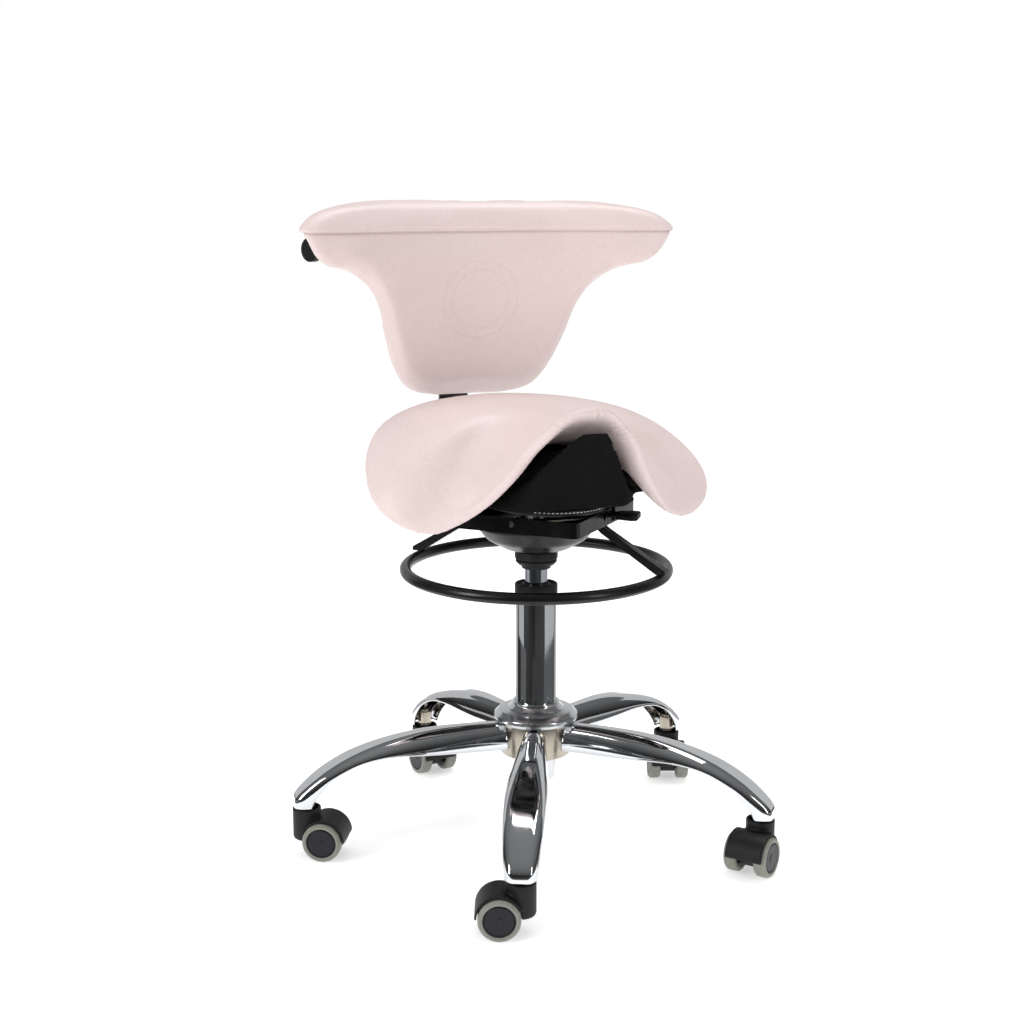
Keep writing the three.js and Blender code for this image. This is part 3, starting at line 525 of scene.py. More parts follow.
ROD_HOLE = 5.5
column_chrome = chrome_plate("drawn_tube_chrome")
tube_radius, tube_low, tube_high = column_profile("column_tube")
bm = bmesh.new()
bore_radius = tube_radius - 2.5
floor_top = tube_low + 4
turned(bm, [(ROD_HOLE, tube_low, 0.5), (tube_radius - 1.2, tube_low, 1), (tube_radius, hub_low.z / MM, 3),
            (tube_radius, tube_high, 0.8), (bore_radius, tube_high, 0.6), (bore_radius, floor_top, 0.5),
            (ROD_HOLE, floor_top, 0.4)])
piece("column_drawn_tube", bm, [column_chrome], "base", "chrome", "column_tube")

lift_radius, lift_low, lift_high = column_profile("gas_cylinder")
sleeve_radius, sleeve_low, sleeve_high = column_profile("guide_sleeve")
bm = bmesh.new()
slide = lift_radius + GAP
turned(bm, [(slide, sleeve_low, 0.3), (bore_radius - GAP, sleeve_low, 0.5),
            (bore_radius - GAP, tube_high + GAP, 0), (sleeve_radius, tube_high + GAP, 0.8),
            (sleeve_radius, sleeve_high, 1.5), (sleeve_radius - 3, sleeve_high, 0.6),
            (sleeve_radius - 3.6, sleeve_high - 2.5, 0.6), (lift_radius + 4.6, sleeve_high - 2.5, 0.6),
            (lift_radius + 4, sleeve_high - 0.4, 0.6), (slide, sleeve_high - 0.4, 0.4)])
piece("guide_cap", bm, [nylon], "base", "black_nylon", "guide_sleeve")

cup_radius, cup_low, cup_high = column_profile("mechanism_cup")
BUTTON_HOLE = 4.3
hard_chrome = ground_plate()
bm = bmesh.new()
inner_radius = lift_radius - 2
turned(bm, [(ROD_HOLE, lift_low, 0.3), (lift_radius, lift_low, 1), (lift_radius, cup_low, 0),
            (lift_radius - 1, lift_high, 0.8), (BUTTON_HOLE, lift_high, 0.3), (BUTTON_HOLE, lift_high - 14, 0),
            (0, lift_high - 14, 0), (0, lift_high - 20, 0), (inner_radius, lift_high - 20, 1),
            (inner_radius, lift_low + 6, 1), (ROD_HOLE, lift_low + 6, 0.3)])
piece("lift_cylinder", bm, [hard_chrome], "mechanism", "chrome", "gas_cylinder")


def black_rubber():
    """Moulded nitrile rubber: soft black with a dry bloom, which hardly shines."""
    made, tree, shader, place = finish("nitrile_rubber", "151516", 0.55)
    bloom = noise(tree, place, 6, 6)
    roughened(tree, shader, bloom, 0.42, 0.7)
    bumped(tree, shader, bloom, 0.05, 0.3)
    return made


rubber = black_rubber()
collar_radius, collar_low, collar_high = column_profile("lift_collar")
bm = bmesh.new()
turned(bm, [(slide, collar_low, 0.3), (lift_radius + 3.5, collar_low, 0.8),
            (lift_radius + 4, collar_low + 3.5, 0.6), (collar_radius - 3, collar_low + 4.5, 1.5),
            (collar_radius + 0.5, collar_low + 8, 2), (collar_radius + 0.5, collar_low + 10.5, 0.8),
            (collar_radius - 1.4, collar_low + 11.6, 0.4), (collar_radius + 1.5, collar_low + 12.8, 0.8),
            (collar_radius + 1.5, collar_high, 0.8), (slide, collar_high, 0.3)])
piece("ribbed_collar", bm, [rubber], "mechanism", "black_rubber", "lift_collar")
frame["nodes"]["bump_stop"].data.materials[0] = rubber
for name in ("piston_rod", "valve_button", "tilt_axle"):
    frame["nodes"][name].data.materials[0] = nickel

# ---- Cup, tray and levers ----
# The lift's taper sits in a domed cup under a square tray, both pressed steel under gloss black
# powder coat. Two moulded levers reach out of the tray to the sitter's left.


def powder_coat(name, colour, low, high):
    """Black powder coat: a hard gloss skin with the shallow dimples called orange peel."""
    made, tree, shader, place = finish(name, colour, low)
    roughened(tree, shader, noise(tree, place, 30, 4), low, high, 0.3, 0.7)
    bumped(tree, shader, noise(tree, place, 2.2, 2), 0.05, 0.35)
    return made


gloss_black = powder_coat("gloss_black_powder_coat", "08080a", 0.16, 0.28)
satin_black = powder_coat("satin_black_powder_coat", "0b0b0d", 0.26, 0.38)
bm = bmesh.new()
socket = lift_radius + 4.3
turned(bm, [(slide, cup_low, 0.3), (collar_radius, cup_low, 3), (cup_radius * 0.55, cup_low + 4, 12),
            (cup_radius * 0.84, cup_low + 16, 18), (cup_radius * 0.98, cup_low + 30, 8),
            (cup_radius, cup_high, 0.5), (cup_radius - 3, cup_high, 0.5), (cup_radius * 0.8, cup_low + 19, 16),
            (cup_radius * 0.52, cup_low + 7, 10), (socket, cup_low + 6, 1), (socket, cup_high, 0.5),
            (slide, cup_high, 0.3)])
piece("domed_cup", bm, [satin_black], "mechanism", "black_paint", "mechanism_cup")


def softened(name, node_name, width, finishes, body, slot, sharpest=25):
    """A copy of a CAD piece with its flats merged and its sharp edges given a small round."""
    bm = bmesh.new()
    bm.from_mesh(frame["nodes"][node_name].data)
    bmesh.ops.remove_doubles(bm, verts=bm.verts, dist=0.01 * MM)
    bmesh.ops.dissolve_limit(bm, angle_limit=math.radians(1), verts=bm.verts, edges=bm.edges)
    edges = [e for e in bm.edges if len(e.link_faces) == 2 and e.calc_face_angle() > math.radians(sharpest)]
    bmesh.ops.bevel(bm, geom=edges, offset=width * MM, offset_type="OFFSET", affect="EDGES", segments=2,
                    profile=0.5, material=-1, clamp_overlap=True)
    return piece(name, bm, finishes, body, slot, node_name)


softened("pressed_tray", "mechanism_tray", 0.7, [gloss_black], "mechanism", "black_paint")
softened("seat_plate_pressed", "seat_plate", 0.6, [satin_black], "seat", "black_paint")


def slab(bm, outline, low, high, place, soft):
    """A flat plate from an outline in mm, between two heights, with softened edges."""
    face = bm.faces.new([bm.verts.new((p.x, p.y, low)) for p in outline])
    grown = bmesh.ops.extrude_face_region(bm, geom=[face])
    top_verts = [item for item in grown["geom"] if isinstance(item, bmesh.types.BMVert)]
    bmesh.ops.translate(bm, verts=top_verts, vec=(0, 0, high - low))
    near = {vert for vert in bm.verts if vert in face.verts or vert in top_verts}
    rims = [e for e in bm.edges if e.verts[0] in near and e.verts[1] in near
            and abs(e.verts[0].co.z - e.verts[1].co.z) < 0.01]
    bmesh.ops.bevel(bm, geom=rims, offset=soft, offset_type="OFFSET", affect="EDGES", segments=3,
                    profile=0.5, material=-1, clamp_overlap=True)
    bmesh.ops.transform(bm, matrix=place, verts=[v for v in bm.verts if v.is_valid])


# A lever's paddle starts this far out. The height lever's rod ends over the valve, the other's at its post.
PADDLE_AT = 98
PADDLE = [(11, 0, 2), (17, 20, 5), (14, 27, 5)]
ROD_START = {"height_lever": -3, "tilt_lever": 26}
for name, inner in ROD_START.items():
    pivot = Vector(joints[f"{name}_lift"]["pos_m"]) - column
    place = beam(math.atan2(pivot.x, -pivot.y))
    level = pivot.z / MM
    bm = bmesh.new()
    sides = [[(side * half, -PADDLE_AT - out, fillet) for half, out, fillet in PADDLE] for side in (-1, 1)]
    slab(bm, rounded(sides[0] + sides[1][::-1]), level - 4, level + 3, place, 1.4)
    length = PADDLE_AT - inner + 4
    rod = place @ Matrix.Translation((0, -inner - length / 2, level)) @ Matrix.Rotation(math.pi / 2, 4, "X")
    bmesh.ops.create_cone(bm, cap_ends=True, segments=32, radius1=4, radius2=4, depth=length, matrix=rod)
    pin = place @ Matrix.Translation((0, -pivot.xy.length / MM, level)) @ Matrix.Rotation(math.pi / 2, 4, "Y")
    bmesh.ops.create_cone(bm, cap_ends=True, segments=20, radius1=2, radius2=2, depth=17, matrix=pin)
    piece(f"{name}_moulding", bm, [nylon], name, "black_nylon", name)

# ---- Footring ----
# A steel tube rolled into a ring and welded shut. Two flat bars, bent from strip, hang it from the
# tray, each held to the ring by a pan-head screw. All of it is satin black powder coat.

ring_low, ring_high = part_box("footring")
tube = (ring_high.z - ring_low.z) / 2
ring_middle = (ring_high.x - ring_low.x) / 2 - tube
bm = bmesh.new()
bmesh.ops.create_circle(bm, segments=28, radius=tube, matrix=Matrix.Translation(
    column + Vector((ring_middle, 0, ring_low.z + tube))) @ Matrix.Rotation(math.pi / 2, 4, "X"))
bmesh.ops.spin(bm, geom=bm.verts[:] + bm.edges[:], cent=column, axis=(0, 0, 1), dvec=(0, 0, 0),
               angle=2 * math.pi, steps=180, use_merge=True, use_duplicate=False)
piece("footring_rolled_tube", bm, [satin_black], "mechanism", "black_paint", "footring")

BAR_WIDTH = 12
BAR_THICK = 4.5


def strap(bm, corners, width, place, soft):
    """A flat bar from its side outline of (-Y, Z, fillet) corners in mm, given its width along X."""
    points = rounded(corners, 8)
    side = bm.faces.new([bm.verts.new((-width / 2, -p.x, p.y)) for p in points])
    grown = bmesh.ops.extrude_face_region(bm, geom=[side])
    bmesh.ops.translate(bm, verts=[v for v in grown["geom"] if isinstance(v, bmesh.types.BMVert)],
                        vec=(width, 0, 0))
    rims = [e for e in bm.edges if abs(e.verts[0].co.x - e.verts[1].co.x) < 0.01]
    bmesh.ops.bevel(bm, geom=rims, offset=soft, offset_type="OFFSET", affect="EDGES", segments=2,
                    profile=0.5, material=-1, clamp_overlap=True)
    bm.transform(place)


ring_top = ring_high.z / MM
tray_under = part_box("mechanism_tray")[0].z / MM
for word in ("left", "right"):
    low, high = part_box(f"footring_bar_{word}")
    middle = (low + high) / 2 - column
    place = beam(math.atan2(middle.x, -middle.y))
    over = ring_middle / MM
    flange = tray_under - GAP
    bm = bmesh.new()
    strap(bm, [(over + 9, ring_top + 0.4, 1.5), (over + 8, ring_top + 5.4, 1.2),
               (cup_radius + 20, flange - 4.5, 8), (cup_radius + 14, flange, 8), (cup_radius + 1, flange, 0.5),
               (cup_radius + 1, flange - BAR_THICK, 0.5), (cup_radius + 9, flange - BAR_THICK, 8),
               (cup_radius + 12, flange - 8.5, 8), (over - 3, ring_top + GAP, 3)], BAR_WIDTH, place, 0.7)
    screw = place @ Matrix.Translation((0, -over, ring_top + 6.3))
    bmesh.ops.create_uvsphere(bm, u_segments=20, v_segments=10, radius=1,
                              matrix=screw @ Matrix.Diagonal((5, 5, 2.2, 1)))
    piece(f"footring_strap_{word}", bm, [satin_black], "mechanism", "black_paint", f"footring_bar_{word}")

# ---- Seat underside ----
# The saddle's moulded shell is lined with black needled felt, which also fills the arch and ends in
# a vinyl band round the base board, sewn with a row of white stitches.


def needled_felt():
    """Needled polyester felt: black, with pale fibre ends as flecks, drawn 1.5 mm so that they show."""
    made, tree, shader, place = finish("black_needled_felt", "0b0b0c", 0.9)
    shader.inputs["Specular IOR Level"].default_value = 0.15
    fibre = noise(tree, place, 1.5, 5, Roughness=0.75)
    tinted(tree, shader, between(tree, fibre, 0, 1, 0.56, 0.74), "0c0c0d", "2c2d31")
    bumped(tree, shader, fibre, 0.4, 0.6)
    return made


def remade(node_name, voxel, passes, levels=1):
    """A CAD solid's copy, smoothed, as an even skin of small squares."""
    bm = bmesh.new()
    bm.from_mesh(frame["nodes"][node_name].data)
    bmesh.ops.remove_doubles(bm, verts=bm.verts, dist=0.01 * MM)
    bmesh.ops.join_triangles(bm, faces=bm.faces, angle_face_threshold=math.radians(50),
                             angle_shape_threshold=math.radians(60))
    obj = linked("smoothing", kept(bm))
    rounder = obj.modifiers.new("rounder", "SUBSURF")
    rounder.levels = levels
    rounder.render_levels = levels
    applied(obj)
    bm = bmesh.new()
    bm.from_mesh(obj.data)
    bpy.data.objects.remove(obj)
    return fused(bm, voxel, passes)


# The saddle's rim on the +X side, front to back: shares of the half width, of the reach ahead of or
# behind the column, and of the arch's rise above the flaps.
SEAT_HALF_WIDTH = 218
SEAT_FRONT = 180
SEAT_BACK = 193
FLAP_HEIGHT = 407
ARCH_RISE = 150
SEAT_DIP = 533
DOME_POWER = 3.2
CUSHION_MIDDLE = 42
CUSHION_EDGE = 28
RIM_HALF = [
    (0.15, -0.98, 0.965), (0.32, -0.88, 0.7), (0.46, -0.745, 0.38), (0.6, -0.6, 0.13), (0.74, -0.48, 0),
    (0.91, -0.36, 0.07), (1, -0.16, 0.21), (0.98, 0.14, 0.38), (0.87, 0.46, 0.55), (0.68, 0.75, 0.67),
    (0.39, 0.94, 0.76)]
RIM_OTHER = [(-across, back, rise) for across, back, rise in reversed(RIM_HALF)]
RIM = [(0, -1, 1), *RIM_HALF, (0, 1, 0.8), *RIM_OTHER]


def rim_point(turn):
    """The saddle's rim in mm round the column, for a turn from 0 at the arch's top to 1 there again."""
    at = (turn % 1) * len(RIM)
    index = int(at)
    around = [RIM[(index + step) % len(RIM)] for step in (-1, 0, 1, 2)]
    across, back, rise = (smooth([value[axis] for value in around], (1 + at - index) / 3) for axis in range(3))
    return Vector((across * SEAT_HALF_WIDTH, back * (SEAT_FRONT if back < 0 else SEAT_BACK),
                   FLAP_HEIGHT + rise * ARCH_RISE))


def saddle_top(turn, reach):
    """A point of the saddle's top, on the way from its middle (reach 0) to its rim (reach 1)."""
    rim = rim_point(turn)
    return Vector((rim.x * reach, rim.y * reach, SEAT_DIP + (rim.z - SEAT_DIP) * reach ** DOME_POWER))


def saddle_sunk(turn, reach, depth):
    """The same point, sunk by a depth at right angles to the top."""
    if reach < 0.02:
        return saddle_top(turn, reach) - Vector((0, 0, depth))
    outward = saddle_top(turn, reach + 0.01) - saddle_top(turn, reach - 0.01)
    onward = saddle_top(turn + 0.01, reach) - saddle_top(turn - 0.01, reach)
    return saddle_top(turn, reach) - outward.cross(onward).normalized() * depth


def cushion_depth(reach):
    """The foam's thickness, which eases from the middle to the rim."""
    return CUSHION_MIDDLE + (CUSHION_EDGE - CUSHION_MIDDLE) * min(reach, 1) ** 2


def skin(point_at, rows, sides):
    """A closed skin through point_at(turn, share), in mm round the column, whose end rows are points."""
    bm = bmesh.new()
    grid = [[bm.verts.new(column + point_at(side / sides, row / rows) * MM) for side in range(sides)]
            for row in range(rows + 1)]
    for lower, upper in zip(grid, grid[1:]):
        for side in range(sides):
            after = (side + 1) % sides
            bm.faces.new((lower[side], lower[after], upper[after], upper[side]))
    bmesh.ops.remove_doubles(bm, verts=bm.verts, dist=0.02 * MM)
    bmesh.ops.recalc_face_normals(bm, faces=bm.faces)
    return bm


def bell(distance, width):
    """1 at no distance, fading smoothly to 0."""
    return math.exp(-(distance / width) ** 2)


SKIRT_REACH = 0.9
UNDER_FOAM = 17
# In the arch the skirt comes further forward and rises into the foam's underside.
ARCH_FORWARD = 0.05
ARCH_LIFT = 21
SKIRT_FRONT = -122
skirt_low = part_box("seat_skirt")[0].z / MM


def skirt_point(turn, share):
    """The skirt: up over its domed top to the rim, then down and in to the base board's outline."""
    arch = bell(min(turn, 1 - turn), 0.12)
    reach = SKIRT_REACH + ARCH_FORWARD * arch
    under = UNDER_FOAM - ARCH_LIFT * arch
    while reach > 0.3 and saddle_sunk(turn, reach, cushion_depth(reach)).z - under < skirt_low + 3:
        reach -= 0.02
    if share <= 0.6:
        reach *= share / 0.6
        place = saddle_sunk(turn, reach, cushion_depth(reach))
        return place - Vector((0, 0, UNDER_FOAM + (under - UNDER_FOAM) * (share / 0.6) ** 4))
    edge = saddle_sunk(turn, reach, cushion_depth(reach))
    foot = Vector((edge.x, edge.y, skirt_low))
    ahead = max(0.0, min(1.0, (105 - abs(edge.x)) / 50)) if edge.y < 0 else 0.0
    foot.y = max(foot.y, foot.y + (SKIRT_FRONT - foot.y) * ahead)
    if share <= 0.85:
        down = (share - 0.6) / 0.25
        top = edge - Vector((0, 0, under))
        return top.lerp(foot, down)
    inward = 1 - (share - 0.85) / 0.15
    return Vector((foot.x * inward, foot.y * inward, skirt_low))


felt = needled_felt()
piece("felt_lined_shell", remade("seat_shell", 3.2 * MM, 2, 0), [felt], "seat", "plywood", "seat_shell")
piece("felt_skirt", fused(skin(skirt_point, 60, 140), 3 * MM, 3), [felt], "seat", "black_fabric", "seat_skirt")


def black_vinyl():
    """Coated vinyl strip: black with a low shine and a shallow printed grain."""
    made, tree, shader, place = finish("black_vinyl", "121214", 0.4)
    grain = node(tree, "ShaderNodeTexVoronoi", None, {"Vector": place, "Scale": per_metre(1.8)})
    bumped(tree, shader, grain.outputs["Distance"], 0.12, 0.5)
    return made


def sewing_thread(name, colour):
    """Twisted polyester thread: a soft satin, a little darker between its turns."""
    made, tree, shader, place = finish(name, colour, 0.6)
    twist = node(tree, "ShaderNodeTexWave", None, {"Vector": place, "Scale": per_metre(1.6), "Distortion": 2})
    bumped(tree, shader, twist.outputs["Fac"], 0.1, 0.5)
    return made


def stitches(name, runs, length, thick, finishes, body, slot):
    """Rows of sewn stitches: each run is a list of (point, direction) pairs in metres."""
    bm = bmesh.new()
    for point, direction in runs:
        turn = direction.to_track_quat("X", "Z").to_matrix().to_4x4()
        shape = Matrix.Diagonal((length / 2 * MM, thick / 2 * MM, thick / 2 * MM, 1))
        bmesh.ops.create_icosphere(bm, subdivisions=1, radius=1,
                                   matrix=Matrix.Translation(point) @ turn @ shape)
    return piece(name, bm, finishes, body, slot)


vinyl = black_vinyl()
white_thread = sewing_thread("white_polyester_thread", "d9d8d4")
base_low, base_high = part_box("seat_base")
board = (base_high - base_low) / 2
board_middle = (base_high + base_low) / 2
spread = Matrix.Translation(board_middle) @ Matrix.Diagonal((board.x, board.y, board.z, 1))
bm = bmesh.new()
bmesh.ops.create_cone(bm, cap_ends=True, segments=128, radius1=1, radius2=1, depth=2, matrix=spread)
rims = [e for e in bm.edges if e.is_manifold and e.calc_face_angle() > 1]
bmesh.ops.bevel(bm, geom=rims, offset=2.2 * MM, offset_type="OFFSET", affect="EDGES", segments=4, profile=0.5,
                material=-1)
piece("vinyl_band", bm, [vinyl], "seat", "black_fabric", "seat_base")
runs = []
STITCHES_ROUND = 104
for index in range(STITCHES_ROUND):
    turn = 2 * math.pi * index / STITCHES_ROUND
    point = board_middle + Vector((board.x * math.cos(turn), board.y * math.sin(turn), 0.8 * MM))
    runs.append((point, Vector((-board.x * math.sin(turn), board.y * math.cos(turn), 0))))
stitches("band_stitches", runs, 3.4, 1.1, [white_thread], "seat", "black_fabric")

# ---- Seat cushion ----
# Foam moulded to the saddle and covered in one piece of pale pink coated leather, pulled over the
# rim and gathered underneath, so that the arch and the front of each flap show small puckers.


def coated_leather():
    """Coated upholstery leather: pale pink, satin, with a pebble grain drawn 1.4 mm so that it shows, and
    painted shade in the grain's valleys.
    """
    made, tree, shader, place = finish("pale_pink_coated_leather", "e6d4d1", 0.46)
    shader.inputs["Coat Weight"].default_value = 0.12
    shader.inputs["Coat Roughness"].default_value = 0.35
    pebble = node(tree, "ShaderNodeTexVoronoi", {"feature": "DISTANCE_TO_EDGE"},
                  {"Vector": place, "Scale": per_metre(1.4)})
    crease = between(tree, pebble.outputs["Distance"], 0, 1, 0, 0.25)
    mottle = noise(tree, place, 70, 5, Roughness=0.55)
    # Painted shade: this mix darkens the colour by up to 18 % in the valleys between the pebbles.
    painted_grain_shade = node(tree, "ShaderNodeMix", {"data_type": "RGBA", "blend_type": "MULTIPLY"},
                {0: 0.18, 6: tinted(tree, shader, mottle, "e2cecb", "ead9d6"), 7: crease})
    tree.links.new(painted_grain_shade.outputs[2], shader.inputs["Base Color"])
    roughened(tree, shader, mottle, 0.4, 0.54, 0.3, 0.7)
    bumped(tree, shader, crease, 0.07, 0.55)
    return made


SKIN_SQUARE = 4.5 * MM
SWELL_CAP = 5 * MM


def swollen(obj, cap, pressure=4.0, ticks=20):
    """Swells a closed skin as cloth under pressure, with a cap on how far a point may move."""
    start = [vertex.co.copy() for vertex in obj.data.vertices]
    cloth = obj.modifiers.new("cloth", "CLOTH")
    cloth.settings.quality = 4
    cloth.settings.use_pressure = True
    cloth.settings.uniform_pressure_force = pressure
    cloth.settings.effector_weights.gravity = 0
    cloth.collision_settings.use_collision = False
    cloth.point_cache.frame_start = 1
    cloth.point_cache.frame_end = ticks
    for tick in range(1, ticks + 1):
        bpy.context.scene.frame_set(tick)
    applied(obj)
    for vertex, place in zip(obj.data.vertices, start):
        moved = vertex.co - place
        if moved.length > cap:
            vertex.co = place + moved.normalized() * cap
    bpy.context.scene.frame_set(1)
    bm = bmesh.new()
    bm.from_mesh(obj.data)
    softly(bm, 5)
    bm.to_mesh(obj.data)
    bm.free()


def upholstered(name, solid, node_name, body, cap):
    """A padded piece from a solid: an even skin, swollen back to its size, then subdivided once."""
    obj = piece(name, fused(solid, SKIN_SQUARE, 2), [leather], body, "pink_leather", node_name)
    reworked(obj, lambda point, normal: -cap / MM / 2)
    swollen(obj, cap)
    finer = obj.modifiers.new("finer", "SUBSURF")
    finer.levels = 1
    finer.render_levels = 1
    applied(obj)
    return obj


def reworked(obj, change):
    """Moves each vertex of a piece along its normal by change(point, normal), in mm."""
    bm = bmesh.new()
    bm.from_mesh(obj.data)
    bm.normal_update()
    moves = [(vert, vert.normal * change(vert.co, vert.normal) * MM) for vert in bm.verts]
    for vert, move in moves:
        vert.co += move
    for face in bm.faces:
        face.smooth = True
    bm.to_mesh(obj.data)
    bm.free()


CUSHION_REACH = [0, 0.3, 0.6, 0.82, 0.95, 1.01, 0.97, 0.82, 0.6, 0.3, 0]
CUSHION_SINK = [1, 1, 1, 1, 0.97, 0.5, 0.06, 0, 0, 0, 0]
VALLEY_REACH = 0.89
VALLEY_DEPTH = 1.5
ARCH_THINNING = 0.45


def cushion_point(turn, share):
    """The cushion: out under the foam, round its rim, then in over its top, with a valley by the roll."""
    reach = max(smooth(CUSHION_REACH, share), 0)
    arch = bell(min(turn, 1 - turn), 0.13)
    depth = smooth(CUSHION_SINK, share) * cushion_depth(reach) * (1 - ARCH_THINNING * arch * min(reach, 1))
    valley = VALLEY_DEPTH * arch * bell(reach - VALLEY_REACH, 0.045) if share > 0.6 else 0
    return saddle_sunk(turn, reach, depth + valley)


leather = coated_leather()
seat = upholstered("saddle_cushion", skin(cushion_point, 110, 220), "seat_cushion", "seat", SWELL_CAP)

RIM_SAMPLES = 900
rim_tree = KDTree(RIM_SAMPLES)
rim_run = [0.0]
for index in range(RIM_SAMPLES):
    turn = index / RIM_SAMPLES
    rim_tree.insert(column + rim_point(turn) * MM, index)
    rim_run.append(rim_run[-1] + (rim_point(turn + 1 / RIM_SAMPLES) - rim_point(turn)).length)
rim_tree.balance()


def by_rim(point):
    """How far a point is below the rim, how far round it lies, how near the arch it is, and its turn."""
    near, index, _ = rim_tree.find(point)
    turn = index / RIM_SAMPLES
    return (near.z - point.z) / MM, rim_run[index], bell(min(turn, 1 - turn), 0.17), turn


PUCKER_DEPTH = 1.1


def pucker(point, normal):
    """Gathers where the leather turns under the arch's edge and the front of each flap."""
    below, along, arch, turn = by_rim(point)
    if arch < 0.05 or below < 2:
        return 0.0
    swing = 0.55 + 0.45 * math.sin(along * 0.087 + 2)
    ripple = math.sin(along * 0.78 + 0.9 * math.sin(along * 0.19)) * swing
    side = 1.0 if turn < 0.5 else 0.45
    return PUCKER_DEPTH * bell(below - 11, 9) * arch * ripple * side


bm = bmesh.new()
bm.from_mesh(seat.data)
gathered = {vert for vert in bm.verts if abs(vert.co.x - column.x) < 0.17 and vert.co.y < column.y - 0.05
            and 2 < by_rim(vert.co)[0] < 38 and by_rim(vert.co)[2] > 0.05}
edges = [edge for edge in bm.edges if edge.verts[0] in gathered and edge.verts[1] in gathered]
bmesh.ops.subdivide_edges(bm, edges=edges, cuts=1, use_grid_fill=True)
bm.to_mesh(seat.data)
bm.free()
reworked(seat, pucker)

# ---- Backrest cushion ----
# A T-shaped pad that wraps round the sitter: a flat stem and, above a sewn seam, a thick roll. It is
# the same leather, topstitched in a paler thread, with a plain stitched rosette on the stem.

back_low, back_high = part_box("backrest_cushion")
SEAM_DROP = 45
BACK_RADIUS = 416
BACK_MIDDLE = 195
BACK_RECEDE = 50
BACK_BOTTOM = 511
WING_BOTTOM = 696
WING_ANGLE = math.radians(34.2)
PAD_STEM = 36
PAD_ROLL = 48
# Rows from the bottom to the top: height shares (1 at the wings' underside), widths and fullness.
ROW_HEIGHT = [0, 0.03, 0.1, 0.25, 0.47, 0.66, 0.8, 0.9, 0.96, 1, 1.15, 1.42, 1.5, 1.6, 1.78, 1.91, 2]
ROW_WIDTH = [0.16, 0.28, 0.37, 0.445, 0.51, 0.55, 0.61, 0.7, 0.79, 0.88, 0.94, 0.99, 1, 0.98, 0.9, 0.74, 0.4]
ROW_FULL = [0, 0.6, 0.9, 1, 1, 1, 1, 1, 0.95, 0.9, 1, 1, 1, 1, 0.95, 0.75, 0]
back_top = back_high.z / MM


def back_point(turn, share):
    """The backrest pad: front from -X to +X and the rear back again, in mm round the column."""
    rise = smooth(ROW_HEIGHT, share)
    height = BACK_BOTTOM + rise * (WING_BOTTOM - BACK_BOTTOM) if rise < 1 else (
        WING_BOTTOM + (rise - 1) * (back_top - WING_BOTTOM))
    rear = turn >= 0.5
    step = 2 - 2 * turn if rear else 2 * turn
    across = (math.sin((step - 0.5) * math.pi) * 0.3 + (2 * step - 1) * 0.7) * smooth(ROW_WIDTH, share)
    swell = max(smooth(ROW_FULL, share), 0) * math.sqrt(1 - abs(2 * step - 1) ** 8)
    above = max(0.0, min(1.0, (height - (back_top - SEAM_DROP) + 6) / 12))
    thick = PAD_STEM + (PAD_ROLL - PAD_STEM) * above
    radius = BACK_RADIUS + thick / 2 + (thick / 2 * swell if rear else -thick / 2 * swell)
    lean = BACK_RECEDE * max(0, (WING_BOTTOM - height) / (WING_BOTTOM - BACK_BOTTOM))
    angle = WING_ANGLE * across
    back = BACK_MIDDLE - BACK_RADIUS + radius * math.cos(angle) + lean
    return Vector((radius * math.sin(angle), back, height))


back = upholstered("backrest_pad", skin(back_point, 110, 180), "backrest_cushion", "backrest", SWELL_CAP)
seam_height = back_high.z - SEAM_DROP * MM
back_centre = Vector((column.x, column.y - (BACK_RADIUS - BACK_MIDDLE) * MM, 0))
wing_reach = (back_high.x - back_low.x) / 2


def loops_at(obj, cuts):
    """Cuts rows of vertices into a piece where planes cross it, so that a seam has a crisp line."""
    bm = bmesh.new()
    bm.from_mesh(obj.data)
    for point, normal in cuts:
        bmesh.ops.bisect_plane(bm, geom=bm.verts[:] + bm.edges[:] + bm.faces[:], plane_co=point,
                               plane_no=normal, dist=0.05 * MM)
    bm.to_mesh(obj.data)
    bm.free()


SEAM_ROWS = (-3, -1.2, 0, 1.2, 3)
loops_at(back, [(Vector((0, 0, seam_height + step * MM)), Vector((0, 0, 1))) for step in SEAM_ROWS])


def back_seam(point, normal):
    """The sewn seam under the roll: a groove, with the roll standing a little proud above it."""
    up = (point.z - seam_height) / MM
    groove = -2.6 * bell(up, 1.9)
    roll = 3.2 * math.exp(-max(up, 0) / 26) if up > 0 else 0
    below = -0.6 * math.exp(up / 12) if up <= 0 else 0
    return groove + roll + below


reworked(back, back_seam)


def surface_of(obj):
    """A tree for finding points on a piece's surface."""
    bm = bmesh.new()
    bm.from_mesh(obj.data)
    made = BVHTree.FromBMesh(bm)
    bm.free()
    return made


def back_run(surface, height, first, last, spacing, proud):
    """Stitches along the backrest's front at one height, between two angles about its centre."""
    runs = []
    count = int(abs(last - first) * BACK_RADIUS / spacing)
    for index in range(count):
        turn = first + (last - first) * (index + 0.5) / count
        out = Vector((math.sin(turn), math.cos(turn), 0))
        start = back_centre + out * 0.25 + Vector((0, 0, height))
        hit, normal, _, _ = surface.ray_cast(start, out)
        if hit is not None:
            runs.append((hit + normal * proud * MM, Vector((out.y, -out.x, 0))))
    return runs


pale_thread = sewing_thread("pale_bonded_thread", "f1e8e3")
wing = math.asin(min(1, wing_reach / (BACK_RADIUS * MM))) * 0.93
surface = surface_of(back)
stitches("seam_topstitch", back_run(surface, seam_height + 5 * MM, -wing, wing, 4.2, 0.15), 3.0, 0.8,
         [pale_thread], "backrest", "pink_leather")

